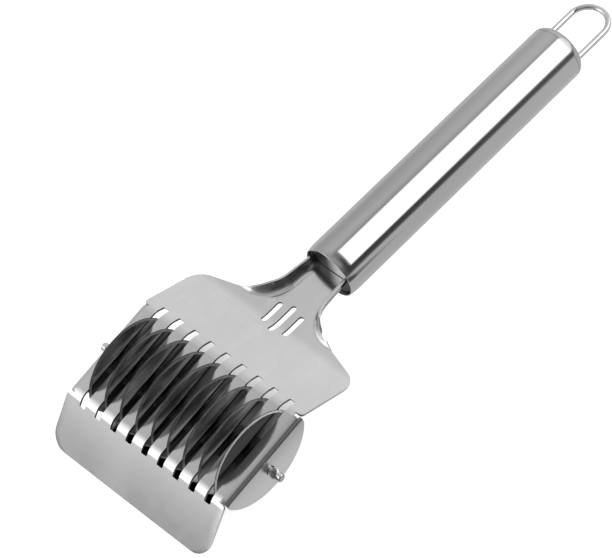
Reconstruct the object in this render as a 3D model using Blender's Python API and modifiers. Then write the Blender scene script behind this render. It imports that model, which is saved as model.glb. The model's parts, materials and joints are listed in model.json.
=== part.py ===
"""A rolling herb cutter: nine round blades on one axle under a bent, slotted sheet head with a tube handle.

The tool's own frame has its origin on the axle, half way between the ears. X runs along the axle, +Y to
the handle and +Z out of the deck, on the side where the blades stand up through their slots. The whole
tool hangs on one empty, which stands it on its blades and on the rear of its handle.
"""

import math
from collections import namedtuple

import bmesh
import bpy
from mathutils import Matrix, Vector

# Head sheet, in metres. Heights are over the axle's centre, and Y is measured from it.
SHEET = 0.0010
HALF_WIDTH = 0.0377
DECK_UP = 0.0085
FRONT_BEND_Y = -0.0195
REAR_BEND_Y = 0.0190
FLAP_LENGTH = 0.0227
FLAP_SLOPE = math.radians(40.0)
FLAP_CORNER = 0.0070
REAR_SLOPE = math.radians(33.0)
FRONT_BEND_RADIUS = 0.0060
REAR_BEND_RADIUS = 0.0060
NECK_BEND_RADIUS = 0.0100

# Shoulders and neck. The neck lies in line with the handle, its floor a little under the handle's axis.
NECK_ROOT_Y = 0.04979
NECK_ROOT_HALF = 0.0095
SHOULDER_RADIUS = 0.0065
SHOULDER_SWEEP = math.radians(16.0)
SHOULDER_Y = NECK_ROOT_Y - (HALF_WIDTH - NECK_ROOT_HALF) * math.tan(SHOULDER_SWEEP)
NECK_SWEEP_RADIUS = 0.0125
NECK_UNDER_AXIS = 0.0007
FLANGE_START_HALF = 0.0230
FLANGE_RUN = 0.0150
FLANGE_HIGH = 0.0050
FLANGE_END_HIGH = 0.0041
FLANGE_FILLET = 0.0022
FLANGE_LEAN = math.radians(80.0)
TANG_IN = 0.0140
TANG_ROOM = 0.0026

# Ears, bent down from the deck's sides to carry the axle.
EAR_BEND = 0.0027
EAR_RADIUS = 0.0203
EAR_CENTRE_UP = 0.0105
EAR_END_Y = 0.0193
EAR_RELIEF = 0.0003
BORDER_CORNER = 0.0015

# Slots for the blades, which lie a little to the right of the blades' middles, and the neck's three vents.
SLOT_WIDTH = 0.0027
SLOT_SHIFT = 0.0004
SLOT_FRONT_Y = -0.0222
SLOT_REAR_Y = 0.0223
VENT_WIDTH = 0.0021
VENT_SPACING = 0.0051
VENT_MIDDLE_Y = 0.0451
VENT_MIDDLE_LENGTH = 0.0131
VENT_SIDE_LENGTH = 0.0098

# Blades, axle and spacers. The blades share the width between the ears at an even pitch.
BLADE_COUNT = 9
BLADE_PITCH = 2 * HALF_WIDTH / (BLADE_COUNT + 1)
BLADE_RADIUS = 0.0189
BLADE_THICKNESS = 0.0008
BLADE_BEVEL = 0.0008
BLADE_EDGE = 0.0002
AXLE_RADIUS = 0.0016
AXLE_OUT = 0.0054
AXLE_CHAMFER = 0.0004
PINCH_HALF_WIDE = 0.0023
PINCH_HALF_THIN = 0.0011
PINCH_LENGTH = 0.0011
PINCH_TURN = math.radians(39.0)
SPACER_RADIUS = 0.0065

# Handle, from the middle of its mouth to its rear end.
MOUTH_Y = 0.0685
MOUTH_UP = -0.0108
HANDLE_SLOPE = math.radians(10.8)
HANDLE_LENGTH = 0.1235
HANDLE_RADIUS = 0.0110
TUBE_WALL = 0.0008
MOUTH_TAPER_LENGTH = 0.0045
MOUTH_TAPER_SHARE = 0.45
MOUTH_ROUND = 0.0002
CAP_ROUND = 0.0038
CAP_WALL = 0.0012
CAP_SPIGOT = 0.0060
PLUG_DEPTH = 0.0014
PLUG_LENGTH = 0.0240

# Hanging loop of round wire.
WIRE_RADIUS = 0.00115
LOOP_HALF = 0.0076
LOOP_REACH = 0.0224
LOOP_FOOT = 0.0036
LOOP_FOOT_BEND = 0.0018

# The neck narrows to the tang, which leaves a little room on each side in the tube.
NECK_END_HALF = HANDLE_RADIUS - TUBE_WALL - TANG_ROOM

# Clearances: a running fit round the axle, side play between blades and spacers, and a seat.
RUNNING = 0.0002
SIDE_PLAY = 0.0002
SEAT = 0.0003
OVERRUN = 0.0040
MERGE = 0.00001
ROW_GAP = 0.0003

# Facets.
BLADE_STEPS = 48
BORE_STEPS = 20
HANDLE_STEPS = 40
BEND_STEPS = 5
FILLET_STEPS = 4
EAR_STEPS = 16

LEFT_AND_RIGHT = (-1, 1)

# A round bend of the top face seen from the side. Its hump is 1 over its centre and -1 in a hollow.
Bend = namedtuple("Bend", "first last centre radius hump")

# A row of points across the head. Where it is flat, a border lies between its edge and its half width.
Row = namedtuple("Row", "y z half middle edge flat")


def new_collection(name):
    """Adds an empty collection to the scene."""
    collection = bpy.data.collections.new(name)
    bpy.context.scene.collection.children.link(collection)
    return collection


def steel(name, colour, roughness):
    """A metal finish with the given colour and roughness."""
    material = bpy.data.materials.new(name)
    material.use_nodes = True
    shader = material.node_tree.nodes["Principled BSDF"]
    shader.inputs["Base Color"].default_value = (*colour, 1)
    shader.inputs["Metallic"].default_value = 1
    shader.inputs["Roughness"].default_value = roughness
    return material


def add_object(name, data, collection, material=None, parent=None):
    """Puts a mesh or a curve in a collection, with its finish and its parent."""
    obj = bpy.data.objects.new(name, data)
    collection.objects.link(obj)
    obj.parent = parent
    if material:
        data.materials.clear()
        data.materials.append(material)
    return obj


def empty(name, collection, parent=None):
    """A frame that other objects hang on."""
    frame = bpy.data.objects.new(name, None)
    collection.objects.link(frame)
    frame.parent = parent
    return frame


def mesh_from(name, bm):
    """Turns a bmesh into a mesh whose faces point out."""
    bmesh.ops.recalc_face_normals(bm, faces=bm.faces)
    mesh = bpy.data.meshes.new(name)
    bm.to_mesh(mesh)
    bm.free()
    return mesh


def shade_round(obj):
    """Shades an object smooth, with its corners kept sharp."""
    obj.data.shade_smooth()
    obj.data.set_sharp_from_angle(angle=math.radians(30))


def turned(name, profile, steps, collection, material, parent, closed=True):
    """Turns a profile of (radius, height) points about the local Z axis."""
    bm = bmesh.new()
    points = [bm.verts.new((radius, 0, height)) for radius, height in profile]
    ends = zip(points, points[1:] + points[:1]) if closed else zip(points, points[1:])
    for first, second in ends:
        bm.edges.new((first, second))
    mesh = bpy.data.meshes.new(name)
    bm.to_mesh(mesh)
    bm.free()
    obj = add_object(name, mesh, collection, material, parent)
    screw = obj.modifiers.new("turn", "SCREW")
    screw.axis = "Z"
    screw.steps = steps
    screw.render_steps = steps
    screw.use_merge_vertices = True
    screw.merge_threshold = MERGE
    screw.use_smooth_shade = True
    return obj


def hide_cutter(obj):
    """Marks an object as a tool that only cuts."""
    obj.hide_render = True
    obj.display_type = "WIRE"
    return obj


def cylinder_cutter(name, radius, length, steps, collection, parent):
    """A round bar along the local Z axis, its middle on the origin."""
    bm = bmesh.new()
    bmesh.ops.create_cone(bm, cap_ends=True, segments=steps, radius1=radius, radius2=radius, depth=length)
    return hide_cutter(add_object(name, mesh_from(name, bm), collection, parent=parent))


def box_cutter(name, size, place, collection, parent):
    """A box of the given size about the given middle."""
    bm = bmesh.new()
    bmesh.ops.create_cube(bm, size=1)
    bmesh.ops.scale(bm, vec=size, verts=bm.verts)
    cutter = hide_cutter(add_object(name, mesh_from(name, bm), collection, parent=parent))
    cutter.location = place
    return cutter


def slot_cutter(name, width, length, depth, collection, parent):
    """A slot with round ends, long in Y and deep in Z, its middle on the origin."""
    bm = bmesh.new()
    half_step = Matrix.Rotation(math.radians(180) / BORE_STEPS, 4, "Z")
    bmesh.ops.create_circle(bm, cap_ends=True, segments=BORE_STEPS, radius=width / 2, matrix=half_step)
    straight = (length - width) / 2
    for vert in bm.verts:
        vert.co.y += math.copysign(straight, vert.co.y)
    grown = bmesh.ops.extrude_face_region(bm, geom=list(bm.faces))
    for item in grown["geom"]:
        if isinstance(item, bmesh.types.BMVert):
            item.co.z += depth
    bmesh.ops.translate(bm, verts=bm.verts, vec=(0, 0, -depth / 2))
    return hide_cutter(add_object(name, mesh_from(name, bm), collection, parent=parent))


def cut(obj, cutter):
    """Takes the cutter's shape out of an object."""
    boolean = obj.modifiers.new(cutter.name, "BOOLEAN")
    boolean.operation = "DIFFERENCE"
    boolean.solver = "EXACT"
    boolean.object = cutter


def round_corner(before, corner, after, radius):
    """Where the round corner between two straight lines starts, its centre, and where it ends."""
    first = (before - corner).normalized()
    second = (after - corner).normalized()
    half = first.angle(second) / 2
    reach = radius / math.tan(half)
    centre = corner + (first + second).normalized() * (radius / math.sin(half))
    return corner + first * reach, centre, corner + second * reach


def fillet(before, corner, after, radius, steps):
    """The points of a round corner between two straight lines, at even turns."""
    first, centre, last = round_corner(before, corner, after, radius)
    start = first - centre
    turn = start.angle_signed(last - centre)
    points = []
    for step in range(steps + 1):
        angle = -turn * step / steps
        points.append(centre + Vector((
            start.x * math.cos(angle) - start.y * math.sin(angle),
            start.x * math.sin(angle) + start.y * math.cos(angle),
        )))
    return points


def side_corners():
    """Where the deck's straight stretches would meet, seen from the side, as (Y, Z)."""
    front = Vector((FRONT_BEND_Y, DECK_UP))
    rear = Vector((REAR_BEND_Y, DECK_UP))
    tip = front + FLAP_LENGTH * Vector((-math.cos(FLAP_SLOPE), -math.sin(FLAP_SLOPE)))
    end = neck_point(TANG_IN)
    fall = math.tan(REAR_SLOPE)
    neck_fall = math.tan(HANDLE_SLOPE)
    run = (rear.y - end.y - neck_fall * (end.x - rear.x)) / (fall - neck_fall)
    neck = rear + run * Vector((1, -fall))
    return tip, front, rear, neck, end


def neck_point(along, over_floor=0):
    """A point of the neck's top face, by its distance behind the handle's mouth, as (Y, Z)."""
    over = over_floor - NECK_UNDER_AXIS
    return Vector((
        MOUTH_Y + along * math.cos(HANDLE_SLOPE) + over * math.sin(HANDLE_SLOPE),
        MOUTH_UP - along * math.sin(HANDLE_SLOPE) + over * math.cos(HANDLE_SLOPE),
    ))


def side_bends():
    """The round bends of the top face seen from the side."""
    tip, front, rear, neck, end = side_corners()
    bends = []
    for before, corner, after, radius in (
        (tip, front, rear, FRONT_BEND_RADIUS),
        (front, rear, neck, REAR_BEND_RADIUS),
        (rear, neck, end, NECK_BEND_RADIUS),
    ):
        first, centre, last = round_corner(before, corner, after, radius)
        bends.append(Bend(first.x, last.x, centre, radius, math.copysign(1, corner.y - centre.y)))
    return bends


def height_at(y):
    """The height of the top face at a place along the tool."""
    corners = side_corners()
    for bend in side_bends():
        if bend.first <= y <= bend.last:
            return bend.centre.y + bend.hump * math.sqrt(bend.radius ** 2 - (y - bend.centre.x) ** 2)
    for first, second in zip(corners, corners[1:]):
        if y <= second.x or second == corners[-1]:
            return first.y + (second.y - first.y) * (y - first.x) / (second.x - first.x)


def rear_outline():
    """The right edge behind the ear, seen from above, as (X, Y): shoulder, sweep and neck."""
    side = Vector((HALF_WIDTH, REAR_BEND_Y))
    shoulder = Vector((HALF_WIDTH, SHOULDER_Y))
    root = Vector((NECK_ROOT_HALF, NECK_ROOT_Y))
    end = Vector((NECK_END_HALF, MOUTH_Y))
    outline = fillet(side, shoulder, root, SHOULDER_RADIUS, BEND_STEPS)
    start_share = (HALF_WIDTH - FLANGE_START_HALF) / (HALF_WIDTH - NECK_ROOT_HALF)
    flange_start = shoulder + (root - shoulder) * start_share
    outline.append(flange_start)
    outline += fillet(flange_start, root, end, NECK_SWEEP_RADIUS, 2 * BEND_STEPS)
    outline.append((outline[-1] + end) / 2)
    outline.append(end)
    outline.append(Vector((NECK_END_HALF, neck_point(TANG_IN).x)))
    return outline


def flange_section(high):
    """A raised edge's section from the floor up: (run outwards, rise) points, a fillet and a straight wall."""
    full = FLANGE_FILLET * (1 - math.cos(FLANGE_LEAN))
    lean = FLANGE_LEAN if high >= full else math.acos(1 - high / FLANGE_FILLET)
    points = []
    for step in range(FILLET_STEPS + 1):
        angle = lean * step / FILLET_STEPS
        points.append(Vector((FLANGE_FILLET * math.sin(angle), FLANGE_FILLET * (1 - math.cos(angle)))))
    rest = max(high - full, 0) / math.sin(FLANGE_LEAN)
    points.append(points[-1] + rest * Vector((math.cos(lean), math.sin(lean))))
    return points


def flange_height(gone, y):
    """How high the neck's edge is turned up, by the distance gone along it and the place."""
    share = min(gone / FLANGE_RUN, 1)
    rise = FLANGE_HIGH * share * share * (3 - 2 * share)
    fall_share = min(max((y - SHOULDER_Y) / (MOUTH_Y - SHOULDER_Y), 0), 1)
    return rise - share * (FLANGE_HIGH - FLANGE_END_HIGH) * fall_share


def flap_rows():
    """The flap's rows as (Y, half width), from the tip's round corners up to the bend."""
    tip = side_corners()[0]
    rows = []
    for step in range(BEND_STEPS + 1):
        angle = math.radians(90) * step / BEND_STEPS
        from_tip = FLAP_CORNER * (1 - math.cos(angle))
        half = HALF_WIDTH - FLAP_CORNER * (1 - math.sin(angle))
        rows.append((tip.x + from_tip * math.cos(FLAP_SLOPE), half))
    return rows


def bend_rows():
    """Rows at even turns round each bend, leaving out those that the ears' own rows stand in for."""
    rows = []
    for bend in side_bends():
        start = math.asin((bend.first - bend.centre.x) / bend.radius)
        turn = math.asin((bend.last - bend.centre.x) / bend.radius) - start
        for step in range(BEND_STEPS + 1):
            rows.append(bend.centre.x + bend.radius * math.sin(start + turn * step / BEND_STEPS))
    return [y for y in rows if abs(y) > EAR_END_Y + EAR_RELIEF]


def head_rows(outline):
    """Every row across the sheet in front of the neck's floor, as (Y, half width)."""
    rows = flap_rows()
    floor = side_bends()[-1].last
    ear = [EAR_END_Y * math.sin(math.radians(180) * (step / EAR_STEPS - 1 / 2)) for step in range(EAR_STEPS + 1)]
    near_ear = EAR_END_Y + EAR_RELIEF
    reliefs = [side * y for side in LEFT_AND_RIGHT for y in (near_ear, near_ear + BORDER_CORNER)]
    shoulder = [point.y for point in outline if point.y < floor]
    fixed = ear + reliefs + shoulder + [floor]
    bends = [y for y in bend_rows() if min(abs(y - other) for other in fixed) > ROW_GAP]
    edge = [(HALF_WIDTH, rows[-1][0])] + [(point.x, point.y) for point in outline]
    for y in sorted(fixed + bends):
        rows.append((y, width_at(edge, y)))
    return rows


def border_half(half, y):
    """The half width of a flat border, whose corner beside the ear is rounded off."""
    short = EAR_END_Y + EAR_RELIEF + BORDER_CORNER - abs(y)
    if short <= 0:
        return half
    return half - BORDER_CORNER + math.sqrt(BORDER_CORNER ** 2 - min(short, BORDER_CORNER) ** 2)


def width_at(edge, y):
    """The sheet's half width at a place along the tool."""
    for (first_x, first_y), (second_x, second_y) in zip(edge, edge[1:]):
        if first_y <= y <= second_y:
            return first_x + (second_x - first_x) * (y - first_y) / (second_y - first_y)
    return edge[-1][0]


def add_strip(bm, first, second):
    """Faces between two rows of vertices of the same length."""
    for a, b, c, d in zip(first, first[1:], second[1:], second):
        bm.faces.new((a, b, c, d))


def head_half():
    """The right half of the head's top face, open at the plane of symmetry."""
    bm = bmesh.new()
    outline = rear_outline()
    rows = []
    for y, half in head_rows(outline):
        z = height_at(y)
        flat = y < outline[0].y
        edge_x = half - EAR_BEND if flat else half
        rows.append(Row(y, z, half, bm.verts.new((0, y, z)), bm.verts.new((edge_x, y, z)), flat))
    for near, far in zip(rows, rows[1:]):
        bm.faces.new((near.middle, near.edge, far.edge, far.middle))
    add_borders(bm, rows)
    add_ear(bm, rows)
    add_neck(bm, outline, rows[-1])
    bmesh.ops.remove_doubles(bm, verts=bm.verts, dist=MERGE)
    bmesh.ops.recalc_face_normals(bm, faces=bm.faces)
    if sum(face.normal.z * face.calc_area() for face in bm.faces) < 0:
        bmesh.ops.reverse_faces(bm, faces=bm.faces)
    mesh = bpy.data.meshes.new("head_plate")
    bm.to_mesh(mesh)
    bm.free()
    return mesh


def add_borders(bm, rows):
    """The flat borders of the flap and of the rear slope. The ear and its reliefs have none."""
    ear_room = EAR_END_Y + EAR_RELIEF - MERGE
    for near, far in zip(rows, rows[1:]):
        if not near.flat or max(-far.y, near.y) < ear_room:
            continue
        corners = [near.edge, bm.verts.new((border_half(near.half, near.y), near.y, near.z))]
        if far.flat:
            corners.append(bm.verts.new((border_half(far.half, far.y), far.y, far.z)))
        bm.faces.new(corners + [far.edge])


def add_ear(bm, rows):
    """The right ear: a round bend down from the deck's edge, then a flat face with a round outline."""
    columns = []
    for row in rows:
        if abs(row.y) > EAR_END_Y + MERGE:
            continue
        column = [row.edge]
        for step in range(1, BEND_STEPS + 1):
            angle = math.radians(90) * step / BEND_STEPS
            out = EAR_BEND * math.sin(angle)
            down = EAR_BEND * (1 - math.cos(angle))
            column.append(bm.verts.new((row.edge.co.x + out, row.y, row.z - down)))
        bottom = EAR_CENTRE_UP - math.sqrt(EAR_RADIUS ** 2 - row.y ** 2)
        column.append(bm.verts.new((row.edge.co.x + EAR_BEND, row.y, min(bottom, row.z - EAR_BEND))))
        columns.append(column)
    for first, second in zip(columns, columns[1:]):
        add_strip(bm, first, second)


def neck_frame(x, y, over_floor):
    """A point over the neck's floor, in the tool's frame."""
    along = (y - neck_point(0).x) / math.cos(HANDLE_SLOPE)
    point = neck_point(along, over_floor)
    return x, point.x, point.y


def add_neck(bm, outline, last_row):
    """The neck's flat floor as one face, and the edge that is turned up along the sweep."""
    start = next(i for i, point in enumerate(outline) if abs(point.x - FLANGE_START_HALF) < MERGE)
    chain = outline[start:]
    gone = 0
    columns = []
    for index, point in enumerate(chain):
        before = chain[max(index - 1, 0)]
        after = chain[min(index + 1, len(chain) - 1)]
        gone += (point - before).length
        way = (after - before).normalized()
        outwards = Vector((way.y, -way.x))
        section = flange_section(flange_height(gone, point.y))
        column = []
        for run, rise in section:
            place = point + outwards * (run - section[-1].x)
            column.append(bm.verts.new(neck_frame(place.x, place.y, rise)))
        columns.append(column)
    for first, second in zip(columns, columns[1:]):
        add_strip(bm, first, second)
    end = neck_point(TANG_IN)
    floor = [last_row.middle, last_row.edge]
    floor += [bm.verts.new(neck_frame(point.x, point.y, 0)) for point in outline[:start] if point.y > last_row.y]
    floor += [column[0] for column in columns]
    bm.faces.new(floor + [bm.verts.new((0, end.x, end.y))])


def build_head(parts, cutters, material, tool):
    """The one-piece sheet head, with its slots, vents and axle holes."""
    head = add_object("head_plate", head_half(), parts, material, tool)
    mirror = head.modifiers.new("mirror", "MIRROR")
    mirror.merge_threshold = MERGE
    wall = head.modifiers.new("sheet", "SOLIDIFY")
    wall.thickness = SHEET
    wall.offset = -1
    wall.use_even_offset = True
    tall = 2 * (FLAP_LENGTH + DECK_UP)
    for index in range(BLADE_COUNT):
        place = (blade_x(index) + SLOT_SHIFT, (SLOT_FRONT_Y + SLOT_REAR_Y) / 2, DECK_UP)
        size = (SLOT_WIDTH, SLOT_REAR_Y - SLOT_FRONT_Y, tall)
        cut(head, box_cutter(f"slot_{index + 1}", size, place, cutters, tool))
    for index, length in ((-1, VENT_SIDE_LENGTH), (0, VENT_MIDDLE_LENGTH), (1, VENT_SIDE_LENGTH)):
        vent = slot_cutter(f"vent_{index + 2}", VENT_WIDTH, length, tall, cutters, tool)
        vent.location = (index * VENT_SPACING, VENT_MIDDLE_Y, height_at(VENT_MIDDLE_Y))
        vent.rotation_euler.x = -HANDLE_SLOPE
        cut(head, vent)
    across = 2 * (HALF_WIDTH + OVERRUN)
    holes = cylinder_cutter("axle_holes", AXLE_RADIUS + RUNNING, across, BORE_STEPS, cutters, tool)
    holes.rotation_euler.y = math.radians(90)
    cut(head, holes)
    shade_round(head)
    head.modifiers.new("flat_faces", "WEIGHTED_NORMAL").keep_sharp = True


def blade_x(index):
    """A blade's place along the axle."""
    return (index - (BLADE_COUNT - 1) / 2) * BLADE_PITCH


def on_axle(obj, x):
    """Places a turned piece on the axle, its own Z axis along X."""
    obj.rotation_euler.y = math.radians(90)
    obj.location.x = x
    return obj


def build_blades(parts, material, tool):
    """Nine round blades, ground to an edge from both sides."""
    bore = AXLE_RADIUS + RUNNING
    half = BLADE_THICKNESS / 2
    edge = BLADE_EDGE / 2
    flat = BLADE_RADIUS - BLADE_BEVEL
    profile = [(flat, half), (BLADE_RADIUS, edge), (BLADE_RADIUS, -edge), (flat, -half), (bore, -half), (bore, half)]
    for index in range(BLADE_COUNT):
        blade = turned(f"blade_{index + 1}", profile, BLADE_STEPS, parts, material, tool)
        on_axle(blade, blade_x(index))


def tube_profile(outer, inner, half):
    """The section of a plain tube about its middle."""
    return [(outer, half), (outer, -half), (inner, -half), (inner, half)]


def build_spacers(parts, material, tool):
    """Spacer tubes between the blades, and one at each end up to the ear."""
    bore = AXLE_RADIUS + RUNNING
    half = (BLADE_PITCH - BLADE_THICKNESS) / 2 - SIDE_PLAY
    for index in range(BLADE_COUNT - 1):
        profile = tube_profile(SPACER_RADIUS, bore, half)
        spacer = turned(f"spacer_{index + 1}", profile, BORE_STEPS, parts, material, tool)
        on_axle(spacer, (blade_x(index) + blade_x(index + 1)) / 2)
    inner = blade_x(BLADE_COUNT - 1) + BLADE_THICKNESS / 2 + SIDE_PLAY
    outer = HALF_WIDTH - SHEET - SIDE_PLAY
    for name, side in zip(("end_spacer_left", "end_spacer_right"), LEFT_AND_RIGHT):
        profile = tube_profile(SPACER_RADIUS, bore, (outer - inner) / 2)
        on_axle(turned(name, profile, BORE_STEPS, parts, material, tool), side * (outer + inner) / 2)


def build_axle(parts, material, tool):
    """The axle, pinched flat just outside each ear so that it can't slide out."""
    pinch = HALF_WIDTH + SEAT + PINCH_LENGTH
    end = HALF_WIDTH + AXLE_OUT
    tip = AXLE_RADIUS - AXLE_CHAMFER
    half = [
        (HALF_WIDTH + SEAT, AXLE_RADIUS, AXLE_RADIUS),
        (pinch, PINCH_HALF_WIDE, PINCH_HALF_THIN),
        (pinch + PINCH_LENGTH, PINCH_HALF_WIDE, PINCH_HALF_THIN),
        (pinch + 2 * PINCH_LENGTH, AXLE_RADIUS, AXLE_RADIUS),
        (end - AXLE_CHAMFER, AXLE_RADIUS, AXLE_RADIUS),
        (end, tip, tip),
    ]
    rings = [(-x, wide, thin) for x, wide, thin in reversed(half)] + half
    bm = bmesh.new()
    turn = Matrix.Rotation(PINCH_TURN, 3, "X")
    loops = []
    for x, wide, thin in rings:
        loop = []
        for step in range(BORE_STEPS):
            angle = math.radians(360) * step / BORE_STEPS
            loop.append(bm.verts.new(turn @ Vector((x, wide * math.cos(angle), thin * math.sin(angle)))))
        loops.append(loop)
    for first, second in zip(loops, loops[1:]):
        add_strip(bm, first + first[:1], second + second[:1])
    bm.faces.new(loops[0])
    bm.faces.new(loops[-1])
    axle = add_object("axle", mesh_from("axle", bm), parts, material, tool)
    shade_round(axle)


def build_tube(parts, material, handle):
    """The handle's open tube, which thins to a soft rim at its mouth. Its rear rim meets the cap."""
    inner = HANDLE_RADIUS - TUBE_WALL
    rear = HANDLE_LENGTH - CAP_ROUND
    taper = MOUTH_TAPER_SHARE * TUBE_WALL
    profile = [(HANDLE_RADIUS, rear)]
    for step in range(BEND_STEPS + 1):
        share = step / BEND_STEPS
        along = MOUTH_TAPER_LENGTH + share * (MOUTH_ROUND - MOUTH_TAPER_LENGTH)
        profile.append((HANDLE_RADIUS - taper * share * share, along))
    profile += [(HANDLE_RADIUS - taper - MOUTH_ROUND, 0), (inner, 0), (inner, rear)]
    turned("handle_tube", profile, HANDLE_STEPS, parts, material, handle)


def build_cap(parts, cutters, material, handle):
    """The pressed cap that closes the rear, with a spigot in the tube and two holes for the loop's legs."""
    spigot = HANDLE_RADIUS - TUBE_WALL - SEAT
    seam = HANDLE_LENGTH - CAP_ROUND + SEAT
    crown = HANDLE_RADIUS - CAP_ROUND
    profile = [(0, HANDLE_LENGTH)]
    for step in range(BEND_STEPS + 1):
        angle = math.radians(90) * step / BEND_STEPS
        profile.append((crown + CAP_ROUND * math.sin(angle), HANDLE_LENGTH - CAP_ROUND * (1 - math.cos(angle))))
    profile[-1] = (HANDLE_RADIUS, seam)
    front = HANDLE_LENGTH - CAP_ROUND - CAP_SPIGOT
    back = HANDLE_LENGTH - CAP_WALL
    profile += [(spigot, seam), (spigot, front), (spigot - CAP_WALL, front), (spigot - CAP_WALL, back - CAP_WALL)]
    profile += [(spigot - 2 * CAP_WALL, back), (0, back)]
    cap = turned("end_cap", profile, HANDLE_STEPS, parts, material, handle, closed=False)
    for index, side in enumerate(LEFT_AND_RIGHT):
        name = f"leg_hole_{index + 1}"
        hole = cylinder_cutter(name, WIRE_RADIUS + SEAT, 2 * CAP_ROUND + OVERRUN, BORE_STEPS, cutters, handle)
        hole.location = (side * LOOP_HALF, 0, HANDLE_LENGTH)
        cut(cap, hole)


def loop_points():
    """The wire's centre line in the handle's frame: a foot, a leg, half a circle, a leg and a foot."""
    foot = HANDLE_LENGTH - CAP_WALL - SEAT - WIRE_RADIUS
    top = HANDLE_LENGTH + LOOP_REACH - LOOP_HALF - WIRE_RADIUS
    right = [Vector((LOOP_HALF - LOOP_FOOT, 0, foot))]
    for step in range(FILLET_STEPS + 1):
        angle = math.radians(90) * step / FILLET_STEPS
        out = LOOP_HALF - LOOP_FOOT_BEND * (1 - math.sin(angle))
        right.append(Vector((out, 0, foot + LOOP_FOOT_BEND * (1 - math.cos(angle)))))
    for step in range(2 * BEND_STEPS + 1):
        angle = math.radians(90) * step / (2 * BEND_STEPS)
        right.append(Vector((LOOP_HALF * math.cos(angle), 0, top + LOOP_HALF * math.sin(angle))))
    left = [Vector((-point.x, 0, point.z)) for point in reversed(right[:-1])]
    return right + left


def build_loop(parts, material, handle):
    """The hanging loop, one bent wire whose feet turn in behind the cap."""
    curve = bpy.data.curves.new("hang_loop", "CURVE")
    curve.dimensions = "3D"
    curve.bevel_depth = WIRE_RADIUS
    curve.bevel_resolution = 2
    curve.use_fill_caps = True
    points = loop_points()
    spline = curve.splines.new("POLY")
    spline.points.add(len(points) - 1)
    for place, point in zip(spline.points, points):
        place.co = (*point, 1)
    add_object("hang_loop", curve, parts, material, handle)


def tang_slot(cutters, handle):
    """The tang's own section with a seat all round it, as a cutter for the plug."""
    section = flange_section(FLANGE_END_HIGH + SEAT)
    bm = bmesh.new()
    rows = []
    for along in (-OVERRUN, TANG_IN + SEAT):
        row = []
        for side in LEFT_AND_RIGHT:
            half = [(side * (NECK_END_HALF - section[-1].x + run), rise) for run, rise in section]
            row += half if side > 0 else half[::-1]
        rows.append([bm.verts.new((x, NECK_UNDER_AXIS - rise, along)) for x, rise in row])
    add_strip(bm, rows[0], rows[1])
    bmesh.ops.recalc_face_normals(bm, faces=bm.faces)
    if sum(face.normal.y * face.calc_area() for face in bm.faces) > 0:
        bmesh.ops.reverse_faces(bm, faces=bm.faces)
    mesh = bpy.data.meshes.new("tang_slot")
    bm.to_mesh(mesh)
    bm.free()
    slot = hide_cutter(add_object("tang_slot", mesh, cutters, parent=handle))
    wall = slot.modifiers.new("sheet", "SOLIDIFY")
    wall.thickness = SHEET + 2 * SEAT
    wall.offset = 2 * SEAT / wall.thickness - 1
    wall.use_even_offset = True
    return slot


def build_plug(parts, cutters, material, handle):
    """The bright plug in the tube's mouth, slotted for the tang."""
    radius = HANDLE_RADIUS - TUBE_WALL - SEAT
    bm = bmesh.new()
    bmesh.ops.create_cone(
        bm, cap_ends=True, segments=HANDLE_STEPS, radius1=radius, radius2=radius, depth=PLUG_LENGTH
    )
    plug = add_object("handle_plug", mesh_from("handle_plug", bm), parts, material, handle)
    plug.location.z = PLUG_DEPTH + PLUG_LENGTH / 2
    cut(plug, tang_slot(cutters, handle))


def stand(tool, parts):
    """Turns the tool about its axle until it rests on its blades and its rear end, and centres its base."""
    rear = HANDLE_LENGTH - CAP_ROUND
    low = HANDLE_RADIUS - CAP_ROUND
    y = MOUTH_Y + rear * math.cos(HANDLE_SLOPE) - low * math.sin(HANDLE_SLOPE)
    z = MOUTH_UP - rear * math.sin(HANDLE_SLOPE) - low * math.cos(HANDLE_SLOPE)
    lift = math.asin((CAP_ROUND - BLADE_RADIUS) / math.hypot(y, z))
    tool.rotation_euler.x = lift - math.atan2(z, y)
    tool.location.z = BLADE_RADIUS
    bpy.context.view_layer.update()
    graph = bpy.context.evaluated_depsgraph_get()
    reach = []
    for obj in parts.objects:
        if obj.type == "EMPTY":
            continue
        evaluated = obj.evaluated_get(graph)
        mesh = evaluated.to_mesh()
        reach += [(evaluated.matrix_world @ vert.co).y for vert in mesh.vertices]
        evaluated.to_mesh_clear()
    tool.location.y = -(min(reach) + max(reach)) / 2


def main():
    for obj in list(bpy.data.objects):
        bpy.data.objects.remove(obj, do_unlink=True)
    parts = new_collection("herb_cutter")
    cutters = new_collection("cutters")
    cutters.hide_render = True
    sheet_steel = steel("polished_sheet_steel", (0.62, 0.62, 0.62), 0.16)
    blade_steel = steel("mirror_blade_steel", (0.55, 0.55, 0.56), 0.08)
    handle_steel = steel("satin_handle_steel", (0.60, 0.60, 0.60), 0.24)
    wire_steel = steel("bright_wire_steel", (0.65, 0.65, 0.65), 0.12)
    plug_steel = steel("bright_plug_steel", (0.66, 0.66, 0.66), 0.14)
    tool = empty("tool_frame", parts)
    handle = empty("handle_frame", parts, tool)
    handle.location = (0, MOUTH_Y, MOUTH_UP)
    handle.rotation_euler.x = -(math.radians(90) + HANDLE_SLOPE)
    build_head(parts, cutters, sheet_steel, tool)
    build_axle(parts, wire_steel, tool)
    build_blades(parts, blade_steel, tool)
    build_spacers(parts, wire_steel, tool)
    build_tube(parts, handle_steel, handle)
    build_cap(parts, cutters, handle_steel, handle)
    build_plug(parts, cutters, plug_steel, handle)
    build_loop(parts, wire_steel, handle)
    stand(tool, parts)


main()
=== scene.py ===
import json
import math
from collections import namedtuple

import bmesh
import bpy
from mathutils import Matrix, Vector


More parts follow.
